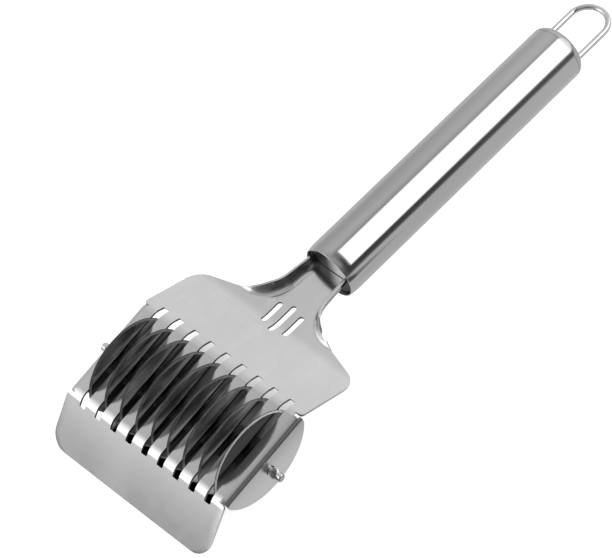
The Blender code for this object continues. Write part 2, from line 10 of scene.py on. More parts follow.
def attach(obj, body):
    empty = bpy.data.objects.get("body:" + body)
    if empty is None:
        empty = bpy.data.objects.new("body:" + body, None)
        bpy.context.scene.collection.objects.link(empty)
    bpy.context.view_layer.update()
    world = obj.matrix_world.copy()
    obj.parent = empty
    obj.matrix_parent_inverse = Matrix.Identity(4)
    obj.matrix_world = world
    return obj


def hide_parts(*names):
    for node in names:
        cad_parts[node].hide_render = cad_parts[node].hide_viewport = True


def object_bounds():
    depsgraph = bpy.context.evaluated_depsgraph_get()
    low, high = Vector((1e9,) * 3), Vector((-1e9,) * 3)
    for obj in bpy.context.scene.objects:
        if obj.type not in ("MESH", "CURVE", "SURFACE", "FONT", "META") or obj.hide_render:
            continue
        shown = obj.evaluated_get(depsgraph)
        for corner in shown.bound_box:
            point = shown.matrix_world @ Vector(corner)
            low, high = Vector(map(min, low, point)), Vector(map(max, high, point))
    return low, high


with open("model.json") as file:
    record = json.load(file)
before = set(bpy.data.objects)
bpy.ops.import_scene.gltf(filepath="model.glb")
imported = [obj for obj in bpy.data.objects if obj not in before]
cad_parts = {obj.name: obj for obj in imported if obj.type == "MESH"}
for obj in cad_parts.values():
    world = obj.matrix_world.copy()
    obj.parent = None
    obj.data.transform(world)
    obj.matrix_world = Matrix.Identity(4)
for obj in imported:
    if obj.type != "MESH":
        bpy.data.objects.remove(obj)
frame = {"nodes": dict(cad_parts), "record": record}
cad_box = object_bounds()

# The tool's own frame has its origin on the axle, half way between the ears. X runs along the axle, Y to
# the handle and Z out of the deck. The handle's frame starts at its mouth, with Z along it to the rear.

# Head sheet, in metres. Heights are over the axle's centre, and Y is measured from it.
SHEET = 0.0010
HALF_WIDTH = 0.0377
DECK_UP = 0.0085
FRONT_BEND_Y = -0.0195
REAR_BEND_Y = 0.0190
FLAP_LENGTH = 0.0227
FLAP_SLOPE = math.radians(40.0)
FLAP_CORNER = 0.0070
REAR_SLOPE = math.radians(33.0)
FRONT_BEND_RADIUS = 0.0060
REAR_BEND_RADIUS = 0.0060
NECK_BEND_RADIUS = 0.0100

# Shoulders and neck.
NECK_ROOT_Y = 0.04979
NECK_ROOT_HALF = 0.0095
SHOULDER_RADIUS = 0.0065
SHOULDER_SWEEP = math.radians(16.0)
SHOULDER_Y = NECK_ROOT_Y - (HALF_WIDTH - NECK_ROOT_HALF) * math.tan(SHOULDER_SWEEP)
NECK_SWEEP_RADIUS = 0.0125
NECK_UNDER_AXIS = 0.0007
NECK_END_HALF = 0.0076
FLANGE_START_HALF = 0.0230
FLANGE_RUN = 0.0150
FLANGE_HIGH = 0.0050
FLANGE_END_HIGH = 0.0041
FLANGE_FILLET = 0.0022
FLANGE_LEAN = math.radians(80.0)
TANG_IN = 0.0140

# Ears.
EAR_BEND = 0.0027
EAR_RADIUS = 0.0203
EAR_CENTRE_UP = 0.0105
EAR_END_Y = 0.0193
EAR_RELIEF = 0.0003
BORDER_CORNER = 0.0015

# Slots for the blades, which lie a little to the right of the blades' middles, and the neck's three vents.
SLOT_WIDTH = 0.0027
SLOT_SHIFT = 0.0004
SLOT_FRONT_Y = -0.0222
SLOT_REAR_Y = 0.0223
SLOT_CORNER = 0.0004
VENT_WIDTH = 0.0021
VENT_SPACING = 0.0051
VENT_MIDDLE_Y = 0.0451
VENT_MIDDLE_LENGTH = 0.0131
VENT_SIDE_LENGTH = 0.0098

# Blades, axle and spacers.
BLADE_COUNT = 9
BLADE_PITCH = 0.00754
BLADE_RADIUS = 0.0189
BLADE_THICKNESS = 0.0008
BLADE_BEVEL = 0.0008
BLADE_EDGE = 0.0002
AXLE_RADIUS = 0.0016
AXLE_OUT = 0.0054
AXLE_CHAMFER = 0.0004
PINCH_HALF_WIDE = 0.0023
PINCH_HALF_THIN = 0.0011
PINCH_LENGTH = 0.0011
PINCH_TURN = math.radians(39.0)
SPACER_RADIUS = 0.0065
SPACER_CHAMFER = 0.0003

# Handle, from the middle of its mouth to its rear end.
MOUTH_Y = 0.0685
MOUTH_UP = -0.0108
HANDLE_SLOPE = math.radians(10.8)
HANDLE_LENGTH = 0.1235
HANDLE_RADIUS = 0.0110
TUBE_WALL = 0.0008
MOUTH_TAPER_LENGTH = 0.0045
MOUTH_TAPER_SHARE = 0.45
MOUTH_ROUND = 0.0002
CAP_ROUND = 0.0038
CAP_WALL = 0.0012
CAP_SPIGOT = 0.0060

# Hanging loop.
WIRE_RADIUS = 0.00115
LOOP_HALF = 0.0076
LOOP_REACH = 0.02239
LOOP_FOOT = 0.0036
LOOP_FOOT_BEND = 0.0018

# Gaps: a running fit, play beside a blade, a seated fit, the reach in which points become one, the least
# step between two rows of the head, and how far the sheet's edges are softened.
RUNNING = 0.0002
SIDE_PLAY = 0.0002
SEAT = 0.0003
MERGE = 0.00001
ROW_GAP = 0.00022
SHEET_EDGE = 0.00010

# Facets.
BLADE_STEPS = 160
ROUND_STEPS = 48
HANDLE_STEPS = 144
BEND_STEPS = 12
FLANGE_STEPS = 9
EAR_STEPS = 48
RIM_STEPS = 6
STRAIGHT_STEPS = 4

# The turn, in degrees, from which a corner stays sharp, and from which the head's edges are softened.
SHARP = 30
BLADE_SHARP = 8
HEAD_SHARP = 35
WIRE_SHARP = 40
SOFTEN_FROM = 40

# A steel: its dull and bright greys, the roughness where it is smooth and where it is rough, how fine its
# grain is, how the grain is drawn out and how strongly it is raised.
Steel = namedtuple("Steel", "name dull bright smooth rough grain stretch bump")
SHEET_STEEL = Steel("polished_sheet", 0.66, 0.73, 0.13, 0.18, 300.0, (1.0, 0.25, 1.0), 0.04)
TUBE_STEEL = Steel("satin_tube", 0.48, 0.56, 0.09, 0.15, 500.0, (1.0, 0.06, 1.0), 0.05)
ROD_STEEL = Steel("bright_rod", 0.64, 0.72, 0.08, 0.14, 700.0, (0.1, 1.0, 1.0), 0.03)
SPACER_STEEL = Steel("dull_spacer", 0.22, 0.30, 0.40, 0.50, 700.0, (0.1, 1.0, 1.0), 0.03)
# Punched cut faces: rough as punched, and nearly black as painted shade.
CUT_SHADE_STEEL = Steel("punched_edge_shade", 0.06, 0.10, 0.30, 0.40, 900.0, (1.0, 1.0, 0.2), 0.05)
PLUG_STEEL = Steel("bright_plug", 0.92, 0.98, 0.40, 0.50, 900.0, (1.0, 1.0, 1.0), 0.02)

# The grain's share beside the cloudy patches, how many times coarser these are, and the grain's depth.
GRAIN_SHARE = 0.4
GRAINS_IN_PATCH = 8
BUMP_DEPTH = 0.00002

# Where a finish changes over its piece: the ears are rougher, the neck's raised edges get painted shade, and
# the plug in the mouth gets painted shade with a painted highlight.
EAR_ROUGH = 0.28
NECK_EDGE_STEEP = (0.55, 0.85)
NECK_EDGE_PAINTED_SHADE = 0.45
PLUG_METALLIC = 0.4
PLUG_PAINTED_SHADE = 0.06
PLUG_HIGHLIGHT_FROM = (-0.002, 0.003)

# A blade: how fine its rings, streaks and clouds are, its faces, and its ground edges. The outermost faces
# are painted darker than the others as shade, and the edges round them are rough, with a painted highlight.
RING_SCALE = 6000.0
STREAK_SCALE = 420.0
STREAK_STRETCH = (1.0, 0.07, 1.0)
CLOUD_SCALE = 70.0
CLOUD_SHARE = 0.5
RING_BUMP = 0.015
FACE_DARK = 0.07
FACE_BRIGHT = 0.34
FACE_ROUGH = 0.10
OUTER_FACE_SHADED_SHARE = 0.15
EDGE_BRIGHT = 0.28
EDGE_ROUGH_SHARE = 0.65
OUTER_EDGE_ROUGH = 0.90

LEFT_AND_RIGHT = (-1, 1)
CUT_MARK = "punched"

# A round bend of the top face seen from the side. Its hump is 1 over its centre and -1 in a hollow.
Bend = namedtuple("Bend", "first last centre radius hump")

# A row of points across the head. Where it is flat, a border lies between its edge and its half width.
Row = namedtuple("Row", "y z half middle edge flat")


# Nodes.

def feed(tree, socket, value):
    """Gives an input a value or another node's output."""
    if isinstance(value, bpy.types.NodeSocket):
        tree.links.new(value, socket)
    else:
        socket.default_value = value


def add_node(tree, kind, inputs=None, **settings):
    """Adds a node to a tree, with its settings and its inputs."""
    node = tree.nodes.new(kind)
    for name, value in settings.items():
        setattr(node, name, value)
    for name, value in (inputs or {}).items():
        feed(tree, node.inputs[name], value)
    return node


def result_of(tree, kind, inputs, **settings):
    """The first output of a new node."""
    return add_node(tree, kind, inputs, **settings).outputs[0]


def calculate(tree, operation, first, second=0.0):
    """The result of one sum in a tree."""
    return result_of(tree, "ShaderNodeMath", {0: first, 1: second}, operation=operation)


def multiply(tree, first, second):
    """The product of two values in a tree."""
    return calculate(tree, "MULTIPLY", first, second)


def ranged(tree, value, start, stop, low=0.0, high=1.0, **settings):
    """A value that runs from low to high, and no farther, as another runs from start to stop."""
    inputs = {"Value": value, "From Min": start, "From Max": stop, "To Min": low, "To Max": high}
    return result_of(tree, "ShaderNodeMapRange", inputs, **settings)


def vector_sum(tree, operation, first, second=(0.0, 0.0, 0.0)):
    """The outputs of one sum with vectors."""
    return add_node(tree, "ShaderNodeVectorMath", {0: first, 1: second}, operation=operation).outputs


def parts_of(tree, vector):
    """A vector's X, Y and Z."""
    return add_node(tree, "ShaderNodeSeparateXYZ", {0: vector}).outputs


def vector_of(tree, **parts):
    """A vector from the X, Y and Z that are given."""
    return result_of(tree, "ShaderNodeCombineXYZ", parts)


def mixed(tree, share, first, second):
    """A colour that runs from the first to the second."""
    mix = add_node(tree, "ShaderNodeMix", {"Factor": share}, data_type="RGBA")
    for socket, colour in zip([socket for socket in mix.inputs if socket.type == "RGBA"], (first, second)):
        feed(tree, socket, colour)
    return next(socket for socket in mix.outputs if socket.type == "RGBA")


def new_group(name, kind, inputs, outputs):
    """A node group with named inputs and outputs, and its two end nodes."""
    tree = bpy.data.node_groups.new(name, kind)
    for label, carries, value in inputs:
        socket = tree.interface.new_socket(label, in_out="INPUT", socket_type=f"NodeSocket{carries}")
        if value is not None:
            socket.default_value = value
    for label, carries in outputs:
        tree.interface.new_socket(label, in_out="OUTPUT", socket_type=f"NodeSocket{carries}")
    return tree, tree.nodes.new("NodeGroupInput").outputs, tree.nodes.new("NodeGroupOutput").inputs


def new_tree(name, *inputs):
    """A group that makes a piece of an object's mesh, and gives it a finish."""
    ends = ("Geometry", "Geometry", None), ("Finish", "Material", None)
    return new_group(name, "GeometryNodeTree", (*ends, *inputs), (("Geometry", "Geometry"),))


def new_mask(name, *inputs, outputs=("Value",)):
    """A group that puts out values for a material."""
    return new_group(name, "ShaderNodeTree", inputs, [(label, "Float") for label in outputs])


def row_of(tree, piece, count, step, start=(0.0, 0.0, 0.0)):
    """Copies of a piece in a row."""
    line = result_of(tree, "GeometryNodeMeshLine", {"Count": count, "Start Location": start, "Offset": step})
    return result_of(tree, "GeometryNodeInstanceOnPoints", {"Points": line, "Instance": piece})


def end_tree(tree, geometry, finish, result, cut_finish=None):
    """Ends a tree that makes a piece: real faces with their finish, and another where they are cut."""
    shape = result_of(tree, "GeometryNodeRealizeInstances", {0: geometry})
    shape = result_of(tree, "GeometryNodeSetMaterial", {"Geometry": shape, "Material": finish})
    if cut_finish:
        cut = add_node(tree, "GeometryNodeInputNamedAttribute", {"Name": CUT_MARK}, data_type="BOOLEAN")
        shape = result_of(tree, "GeometryNodeSetMaterial", {
            "Geometry": shape, "Selection": cut.outputs["Attribute"], "Material": cut_finish,
        })
    tree.links.new(shape, result["Geometry"])


def turned_tree():
    """A profile of (X, Z) points turned about Z, and repeated along Z."""
    tree, given, result = new_tree(
        "turned_piece", ("Steps", "Int", ROUND_STEPS), ("Count", "Int", 1), ("Pitch", "Float", 0.0)
    )
    profile = given["Geometry"]
    size = add_node(tree, "GeometryNodeAttributeDomainSize", {"Geometry": profile}, component="MESH")
    points = size.outputs["Point Count"]
    columns = calculate(tree, "ADD", given["Steps"], 1)
    grid = result_of(tree, "GeometryNodeMeshGrid", {"Vertices X": columns, "Vertices Y": points})
    index = tree.nodes.new("GeometryNodeInputIndex").outputs[0]
    row = calculate(tree, "MODULO", index, points)
    column = calculate(tree, "FLOOR", calculate(tree, "DIVIDE", index, points))
    place = tree.nodes.new("GeometryNodeInputPosition").outputs[0]
    point = parts_of(tree, result_of(
        tree, "GeometryNodeSampleIndex", {"Geometry": profile, "Value": place, "Index": row},
        data_type="FLOAT_VECTOR", domain="POINT",
    ))
    angle = calculate(tree, "DIVIDE", multiply(tree, column, math.tau), given["Steps"])
    across = multiply(tree, point["X"], calculate(tree, "COSINE", angle))
    deep = multiply(tree, point["X"], calculate(tree, "SINE", angle))
    turned = vector_of(tree, X=across, Y=deep, Z=point["Z"])
    shape = result_of(tree, "GeometryNodeSetPosition", {"Geometry": grid, "Position": turned})
    closed = result_of(tree, "GeometryNodeMergeByDistance", {"Geometry": shape, "Distance": MERGE})
    copies = row_of(tree, closed, given["Count"], vector_of(tree, Z=given["Pitch"]))
    end_tree(tree, copies, given["Finish"], result)
    return tree


def wire_tree():
    """A round wire along a path of straight edges."""
    tree, given, result = new_tree(
        "bent_wire", ("Radius", "Float", WIRE_RADIUS), ("Sides", "Int", ROUND_STEPS)
    )
    path = result_of(tree, "GeometryNodeMeshToCurve", {"Mesh": given["Geometry"]})
    section = result_of(
        tree, "GeometryNodeCurvePrimitiveCircle", {"Resolution": given["Sides"], "Radius": given["Radius"]}
    )
    wire = result_of(
        tree, "GeometryNodeCurveToMesh", {"Curve": path, "Profile Curve": section, "Fill Caps": True}
    )
    end_tree(tree, wire, given["Finish"], result)
    return tree


def punch_tree():
    """A row of round-cornered holes punched through a piece."""
    tree, given, result = new_tree(
        "punched_row",
        ("Count", "Int", 1), ("Pitch", "Float", 0.0),
        ("Width", "Float", SLOT_WIDTH), ("Length", "Float", SLOT_REAR_Y - SLOT_FRONT_Y),
        ("Depth", "Float", FLAP_LENGTH), ("Corner", "Float", SLOT_CORNER),
        ("Middle", "Vector", (0.0, 0.0, 0.0)), ("Turn", "Vector", (0.0, 0.0, 0.0)),
        ("Cut Finish", "Material", None),
    )
    outline = result_of(
        tree, "GeometryNodeCurvePrimitiveQuadrilateral", {"Width": given["Width"], "Height": given["Length"]}
    )
    outline = result_of(
        tree, "GeometryNodeFilletCurve", {"Curve": outline, "Radius": given["Corner"], "Count": RIM_STEPS},
        mode="POLY",
    )
    face = result_of(tree, "GeometryNodeFillCurve", {"Curve": outline}, mode="NGONS")
    walls = result_of(tree, "GeometryNodeExtrudeMesh", {
        "Mesh": face, "Offset": vector_of(tree, Z=given["Depth"]), "Offset Scale": 1.0, "Individual": False,
    })
    both = tree.nodes.new("GeometryNodeJoinGeometry")
    tree.links.new(walls, both.inputs[0])
    tree.links.new(result_of(tree, "GeometryNodeFlipFaces", {"Mesh": face}), both.inputs[0])
    punch = result_of(tree, "GeometryNodeMergeByDistance", {"Geometry": both.outputs[0], "Distance": MERGE})
    reach = multiply(tree, calculate(tree, "SUBTRACT", given["Count"], 1), given["Pitch"])
    start = vector_of(tree, X=multiply(tree, reach, -0.5), Z=multiply(tree, given["Depth"], -0.5))
    row = row_of(tree, punch, given["Count"], vector_of(tree, X=given["Pitch"]), start)
    real = result_of(tree, "GeometryNodeRealizeInstances", {0: row})
    placed = result_of(tree, "GeometryNodeTransform", {
        "Geometry": real, "Translation": given["Middle"], "Rotation": given["Turn"],
    })
    marked = result_of(
        tree, "GeometryNodeStoreNamedAttribute", {"Geometry": placed, "Name": CUT_MARK, "Value": True},
        data_type="BOOLEAN", domain="FACE",
    )
    cut = add_node(tree, "GeometryNodeMeshBoolean", operation="DIFFERENCE", solver="EXACT")
    tree.links.new(given["Geometry"], cut.inputs["Mesh 1"])
    tree.links.new(marked, cut.inputs["Mesh 2"])
    end_tree(tree, cut.outputs["Mesh"], given["Finish"], result, given["Cut Finish"])
    return tree


def run_tree(obj, tree, **values):
    """Adds a tree to an object, with its named inputs set."""
    modifier = obj.modifiers.new(tree.name, "NODES")
    modifier.node_group = tree
    sockets = {item.name: item.identifier for item in tree.interface.items_tree if item.in_out == "INPUT"}
    for name, value in values.items():
        modifier[sockets[name.replace("_", " ")]] = value


# Finishes. Each group puts out a value between 0 and 1 that changes over the surface.

def grey(level):
    """A colour of one level."""
    return (level, level, level, 1)


def grain_group():
    """Fine streaks, drawn out along one direction by the vector's scale."""
    tree, given, result = new_mask(
        "drawn_grain", ("Vector", "Vector", None), ("Scale", "Float", 400.0),
        ("Stretch", "Vector", (1.0, 0.05, 1.0)),
    )
    drawn = vector_sum(tree, "MULTIPLY", given["Vector"], given["Stretch"])[0]
    noise = result_of(tree, "ShaderNodeTexNoise", {
        "Vector": drawn, "Scale": given["Scale"], "Detail": 4.0, "Roughness": 0.6,
    })
    tree.links.new(ranged(tree, noise, 0.3, 0.7), result["Value"])
    return tree


def patches_group():
    """Soft cloudy patches, as polishing and handling leave them."""
    tree, given, result = new_mask(
        "polish_patches", ("Vector", "Vector", None), ("Scale", "Float", 60.0),
        ("Stretch", "Vector", (1.0, 1.0, 1.0)),
    )
    drawn = vector_sum(tree, "MULTIPLY", given["Vector"], given["Stretch"])[0]
    noise = result_of(tree, "ShaderNodeTexNoise", {
        "Vector": drawn, "Scale": given["Scale"], "Detail": 3.0, "Roughness": 0.5, "Distortion": 0.4,
    })
    soft = ranged(tree, noise, 0.35, 0.65, interpolation_type="SMOOTHSTEP")
    tree.links.new(soft, result["Value"])
    return tree


def rings_group():
    """Fine rings about the axle, as grinding leaves them on a blade."""
    tree, given, result = new_mask(
        "ground_rings", ("Vector", "Vector", None), ("Centre", "Vector", (0.0, 0.0, 0.0)),
        ("Scale", "Float", 9000.0), outputs=("Value", "Radius"),
    )
    out = vector_sum(tree, "SUBTRACT", given["Vector"], given["Centre"])[0]
    flat = vector_sum(tree, "MULTIPLY", out, (0.0, 1.0, 1.0))[0]
    radius = vector_sum(tree, "LENGTH", flat)["Value"]
    noise = result_of(
        tree, "ShaderNodeTexNoise", {"W": radius, "Scale": given["Scale"], "Detail": 2.0},
        noise_dimensions="1D",
    )
    tree.links.new(noise, result["Value"])
    tree.links.new(radius, result["Radius"])
    return tree


def edges_group():
    """Where the surface turns over an edge, and so is rubbed bright."""
    tree, given, result = new_mask("rubbed_edges", ("From", "Float", 0.52), ("To", "Float", 0.60))
    turn = tree.nodes.new("ShaderNodeNewGeometry").outputs["Pointiness"]
    tree.links.new(ranged(tree, turn, given["From"], given["To"]), result["Value"])
    return tree


def use_group(tree, group, **inputs):
    """Places a shared group in a material."""
    return add_node(tree, "ShaderNodeGroup", inputs, node_tree=group).outputs


def between(tree, mask, low, high):
    """A value that runs from low to high with a mask."""
    return ranged(tree, mask, 0.0, 1.0, low, high)


def shade_between(tree, mask, low, high):
    """A grey that runs from low to high with a mask."""
    return mixed(tree, mask, grey(low), grey(high))


def new_finish(name, metallic):
    """A material, its tree and its shader."""
    finish = bpy.data.materials.new(name)
    finish.use_nodes = True
    tree = finish.node_tree
    shader = tree.nodes["Principled BSDF"]
    shader.inputs["Metallic"].default_value = metallic
    return finish, tree, shader


def surface_place(tree):
    """Where a point of the surface is, in its object's frame."""
    return tree.nodes.new("ShaderNodeTexCoord").outputs["Object"]


def side_reach(tree):
    """How far out to either side a point of the surface is."""
    return calculate(tree, "ABSOLUTE", parts_of(tree, surface_place(tree))["X"])


def bump_from(tree, shader, height, strength):
    """Raises the surface a little by a height."""
    inputs = {"Height": height, "Strength": strength, "Distance": BUMP_DEPTH}
    tree.links.new(result_of(tree, "ShaderNodeBump", inputs), shader.inputs["Normal"])


def steel_finish(steel, groups, metallic=1.0):
    """Polished steel: cloudy patches and fine drawn grain over a base colour, with rubbed edges."""
    finish, tree, shader = new_finish(steel.name, metallic)
    place = surface_place(tree)
    streaks = use_group(tree, groups["grain"], Vector=place, Scale=steel.grain, Stretch=steel.stretch)[0]
    coarse = steel.grain / GRAINS_IN_PATCH
    clouds = use_group(tree, groups["patches"], Vector=place, Scale=coarse, Stretch=steel.stretch)[0]
    worn = use_group(tree, groups["edges"])[0]
    mask = calculate(
        tree, "ADD", multiply(tree, streaks, GRAIN_SHARE), multiply(tree, clouds, 1 - GRAIN_SHARE)
    )
    lit = calculate(tree, "MAXIMUM", mask, worn)
    tree.links.new(shade_between(tree, lit, steel.dull, steel.bright), shader.inputs["Base Color"])
    tree.links.new(between(tree, mask, steel.rough, steel.smooth), shader.inputs["Roughness"])
    bump_from(tree, shader, streaks, steel.bump)
    return finish


def scale_shade(finish, level):
    """Multiplies a finish's base colour by a level."""
    tree = finish.node_tree
    shade = tree.nodes["Principled BSDF"].inputs["Base Color"]
    inputs = {0: shade.links[0].from_socket, "Scale": level}
    tree.links.new(result_of(tree, "ShaderNodeVectorMath", inputs, operation="SCALE"), shade)


def satin_ears(finish):
    """Leaves a sheet's ears, which lie farthest out, less polished than the rest."""
    tree = finish.node_tree
    rough = tree.nodes["Principled BSDF"].inputs["Roughness"]
    ear = ranged(tree, side_reach(tree), HALF_WIDTH - 3 * MERGE, HALF_WIDTH - MERGE)
    polished = multiply(tree, rough.links[0].from_socket, calculate(tree, "SUBTRACT", 1.0, ear))
    tree.links.new(calculate(tree, "ADD", polished, multiply(tree, ear, EAR_ROUGH)), rough)


def paint_neck_edge_shade(finish):
    """Paints shade on the neck's raised edges, which stand up steeply, so they are darker than the flat
    sheet.
    """
    tree = finish.node_tree
    normal = parts_of(tree, tree.nodes.new("ShaderNodeTexCoord").outputs["Normal"])
    steep = ranged(tree, calculate(tree, "ABSOLUTE", normal["X"]), *NECK_EDGE_STEEP)
    inside = ranged(tree, side_reach(tree), FLANGE_START_HALF, FLANGE_START_HALF + SHEET, 1.0, 0.0)
    scale_shade(finish, between(tree, multiply(tree, steep, inside), 1.0, NECK_EDGE_PAINTED_SHADE))


def paint_plug_shade_and_highlight(finish, floor):
    """Paints shade on the plug's face, but for a painted highlight over the neck's floor, whose height is
    given.
    """
    tree = finish.node_tree
    place = parts_of(tree, surface_place(tree))
    over = ranged(tree, place["Z"], floor + SEAT, floor + 2 * SEAT)
    rise = ranged(tree, place["X"], *PLUG_HIGHLIGHT_FROM)
    fall = ranged(tree, place["X"], NECK_END_HALF - SEAT, NECK_END_HALF, 1.0, 0.0)
    # The painted highlight's mask. The rest of the face gets painted shade.
    lit = multiply(tree, multiply(tree, rise, fall), over)
    scale_shade(finish, between(tree, lit, PLUG_PAINTED_SHADE, 1.0))


def blade_finish(groups, centre):
    """Mirror-ground blade steel with fine rings about the axle and a ground edge, and painted shade and
    highlight.
    """
    finish, tree, shader = new_finish("ground_blade_steel", 1)
    place = surface_place(tree)
    rings = use_group(tree, groups["rings"], Vector=place, Centre=centre, Scale=RING_SCALE)
    streaks = use_group(
        tree, groups["patches"], Vector=place, Scale=STREAK_SCALE, Stretch=STREAK_STRETCH
    )[0]
    clouds = use_group(tree, groups["patches"], Vector=place, Scale=CLOUD_SCALE)[0]
    flat = BLADE_RADIUS - BLADE_BEVEL
    ground = ranged(tree, rings["Radius"], flat - SHEET_EDGE, flat + SHEET_EDGE)
    # Painted shade: each blade's rim is painted dark.
    rim = ranged(tree, rings["Radius"], BLADE_RADIUS - SHEET_EDGE, BLADE_RADIUS - SHEET_EDGE / 2, 1.0, 0.0)
    # The outermost faces get painted shade, and the edges round them a painted highlight.
    outer = calculate(tree, "GREATER_THAN", side_reach(tree), blade_x(BLADE_COUNT - 1))
    edge = multiply(tree, ground, between(tree, outer, EDGE_BRIGHT, 1.0))
    face = calculate(tree, "ADD", streaks, multiply(tree, clouds, CLOUD_SHARE))
    face = multiply(tree, face, FACE_BRIGHT)
    face = multiply(tree, face, between(tree, outer, 1.0, OUTER_FACE_SHADED_SHARE))
    mask = multiply(tree, calculate(tree, "MAXIMUM", face, edge), rim)
    tree.links.new(shade_between(tree, mask, FACE_DARK, 1.0), shader.inputs["Base Color"])
    satin = multiply(tree, ground, between(tree, outer, EDGE_ROUGH_SHARE, 1.0))
    tree.links.new(between(tree, satin, FACE_ROUGH, OUTER_EDGE_ROUGH), shader.inputs["Roughness"])
    bump_from(tree, shader, rings["Value"], RING_BUMP)
    return finish


# Shapes.

def quarter_turn(steps):
    """Even angles over a quarter turn, with both its ends."""
    return [math.radians(90) * step / steps for step in range(steps + 1)]


def eased(share):
    """A share that starts and ends softly."""
    return share * share * (3 - 2 * share)


def mesh_from(bm, name):
    """Turns a mesh that is being edited into a plain one."""
    mesh = bpy.data.meshes.new(name)
    bm.to_mesh(mesh)
    bm.free()
    return mesh


def plain_object(name, mesh):
    """An object of the given mesh in the scene."""
    obj = bpy.data.objects.new(name, mesh)
    bpy.context.scene.collection.objects.link(obj)
    return obj


def settle(obj):
    """Turns what an object's modifiers make into its own plain mesh."""
    graph = bpy.context.evaluated_depsgraph_get()
    graph.update()
    mesh = bpy.data.meshes.new_from_object(obj.evaluated_get(graph))
    obj.modifiers.clear()
    obj.data = mesh
    return obj


def face_outwards(mesh):
    """Closes seams and turns every face out."""
    bm = bmesh.new()
    bm.from_mesh(mesh)
    bmesh.ops.remove_doubles(bm, verts=bm.verts, dist=MERGE)
    bmesh.ops.recalc_face_normals(bm, faces=bm.faces)
    bm.to_mesh(mesh)
    bm.free()


def crease(obj, degrees=SHARP):
    """Shades an object smooth, with corners sharper than this kept, and keeps flat faces flat."""
    obj.data.shade_smooth()
    obj.data.set_sharp_from_angle(angle=math.radians(degrees))
    weighted = obj.modifiers.new("flat_faces", "WEIGHTED_NORMAL")
    weighted.keep_sharp = True
    return settle(obj)


def hand_over(obj, place, body, finish, nodes):
    """Puts a finished piece in the object's frame, on its body, in place of the solids it stands for."""
    obj.data.transform(place)
    if not obj.data.materials:
        obj.data.materials.append(finish)
    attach(obj, body)
    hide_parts(*nodes)


def profile_mesh(name, points):
    """A chain of (X, Z) points as a mesh."""
    bm = bmesh.new()
    verts = [bm.verts.new((x, 0, z)) for x, z in points]
    for ends in zip(verts, verts[1:]):
        bm.edges.new(ends)
    return mesh_from(bm, name)


def rounded(corners, radii, steps=RIM_STEPS):
    """A closed outline of (X, Z) corners, each rounded by its radius, that starts and ends at one point."""
    points = []
    count = len(corners)
    for index, radius in enumerate(radii):
        before, corner, after = (Vector(corners[(index + step) % count]) for step in (-1, 0, 1))
        if radius:
            points += [tuple(point) for point in fillet(before, corner, after, radius, steps)]
        else:
            points.append(tuple(corner))
    return points + points[:1]


def turned_piece(name, points, steps, trees, finish, count=1, pitch=0.0):
    """A piece turned from its profile, repeated along its own axis."""
    obj = plain_object(name, profile_mesh(name, points))
    run_tree(obj, trees["turned"], Steps=steps, Count=count, Pitch=pitch, Finish=finish)
    settle(obj)
    face_outwards(obj.data)
    return obj


def along_axle(x):
    """Lays a piece turned about Z along the axle, its middle at X."""
    return Matrix.Translation((x, 0, 0)) @ Matrix.Rotation(math.radians(90), 4, "Y")


# The bent head.

def round_corner(before, corner, after, radius):
    """Where the round corner between two straight lines starts, its centre, and where it ends."""
    first = (before - corner).normalized()
    second = (after - corner).normalized()
    half = first.angle(second) / 2
    reach = radius / math.tan(half)
    centre = corner + (first + second).normalized() * (radius / math.sin(half))
    return corner + first * reach, centre, corner + second * reach


def fillet(before, corner, after, radius, steps):
    """The points of a round corner between two straight lines, at even turns."""
    first, centre, last = round_corner(before, corner, after, radius)
    start = first - centre
    turn = start.angle_signed(last - centre)
    points = []
    for step in range(steps + 1):
        angle = -turn * step / steps
        points.append(centre + Vector((
            start.x * math.cos(angle) - start.y * math.sin(angle),
            start.x * math.sin(angle) + start.y * math.cos(angle),
        )))
    return points


def side_corners():
    """Where the deck's straight stretches would meet, seen from the side, as (Y, Z)."""
    front = Vector((FRONT_BEND_Y, DECK_UP))
    rear = Vector((REAR_BEND_Y, DECK_UP))
    tip = front + FLAP_LENGTH * Vector((-math.cos(FLAP_SLOPE), -math.sin(FLAP_SLOPE)))
    end = neck_point(TANG_IN)
    fall = math.tan(REAR_SLOPE)
    neck_fall = math.tan(HANDLE_SLOPE)
    run = (rear.y - end.y - neck_fall * (end.x - rear.x)) / (fall - neck_fall)
    neck = rear + run * Vector((1, -fall))
    return tip, front, rear, neck, end


def neck_point(along, over_floor=0):
    """A point of the neck's top face, by its distance behind the handle's mouth, as (Y, Z)."""
    over = over_floor - NECK_UNDER_AXIS
    return Vector((
        MOUTH_Y + along * math.cos(HANDLE_SLOPE) + over * math.sin(HANDLE_SLOPE),
        MOUTH_UP - along * math.sin(HANDLE_SLOPE) + over * math.cos(HANDLE_SLOPE),
    ))


def side_bends():
    """The round bends of the top face seen from the side."""
    tip, front, rear, neck, end = side_corners()
    bends = []
    for before, corner, after, radius in (
        (tip, front, rear, FRONT_BEND_RADIUS),
        (front, rear, neck, REAR_BEND_RADIUS),
        (rear, neck, end, NECK_BEND_RADIUS),
    ):
        first, centre, last = round_corner(before, corner, after, radius)
        bends.append(Bend(first.x, last.x, centre, radius, math.copysign(1, corner.y - centre.y)))
    return bends


def height_at(y):
    """The height of the top face at a place along the tool."""
    corners = side_corners()
    for bend in side_bends():
        if bend.first <= y <= bend.last:
            return bend.centre.y + bend.hump * math.sqrt(bend.radius ** 2 - (y - bend.centre.x) ** 2)
    for first, second in zip(corners, corners[1:]):
        if y <= second.x or second == corners[-1]:
            return first.y + (second.y - first.y) * (y - first.x) / (second.x - first.x)


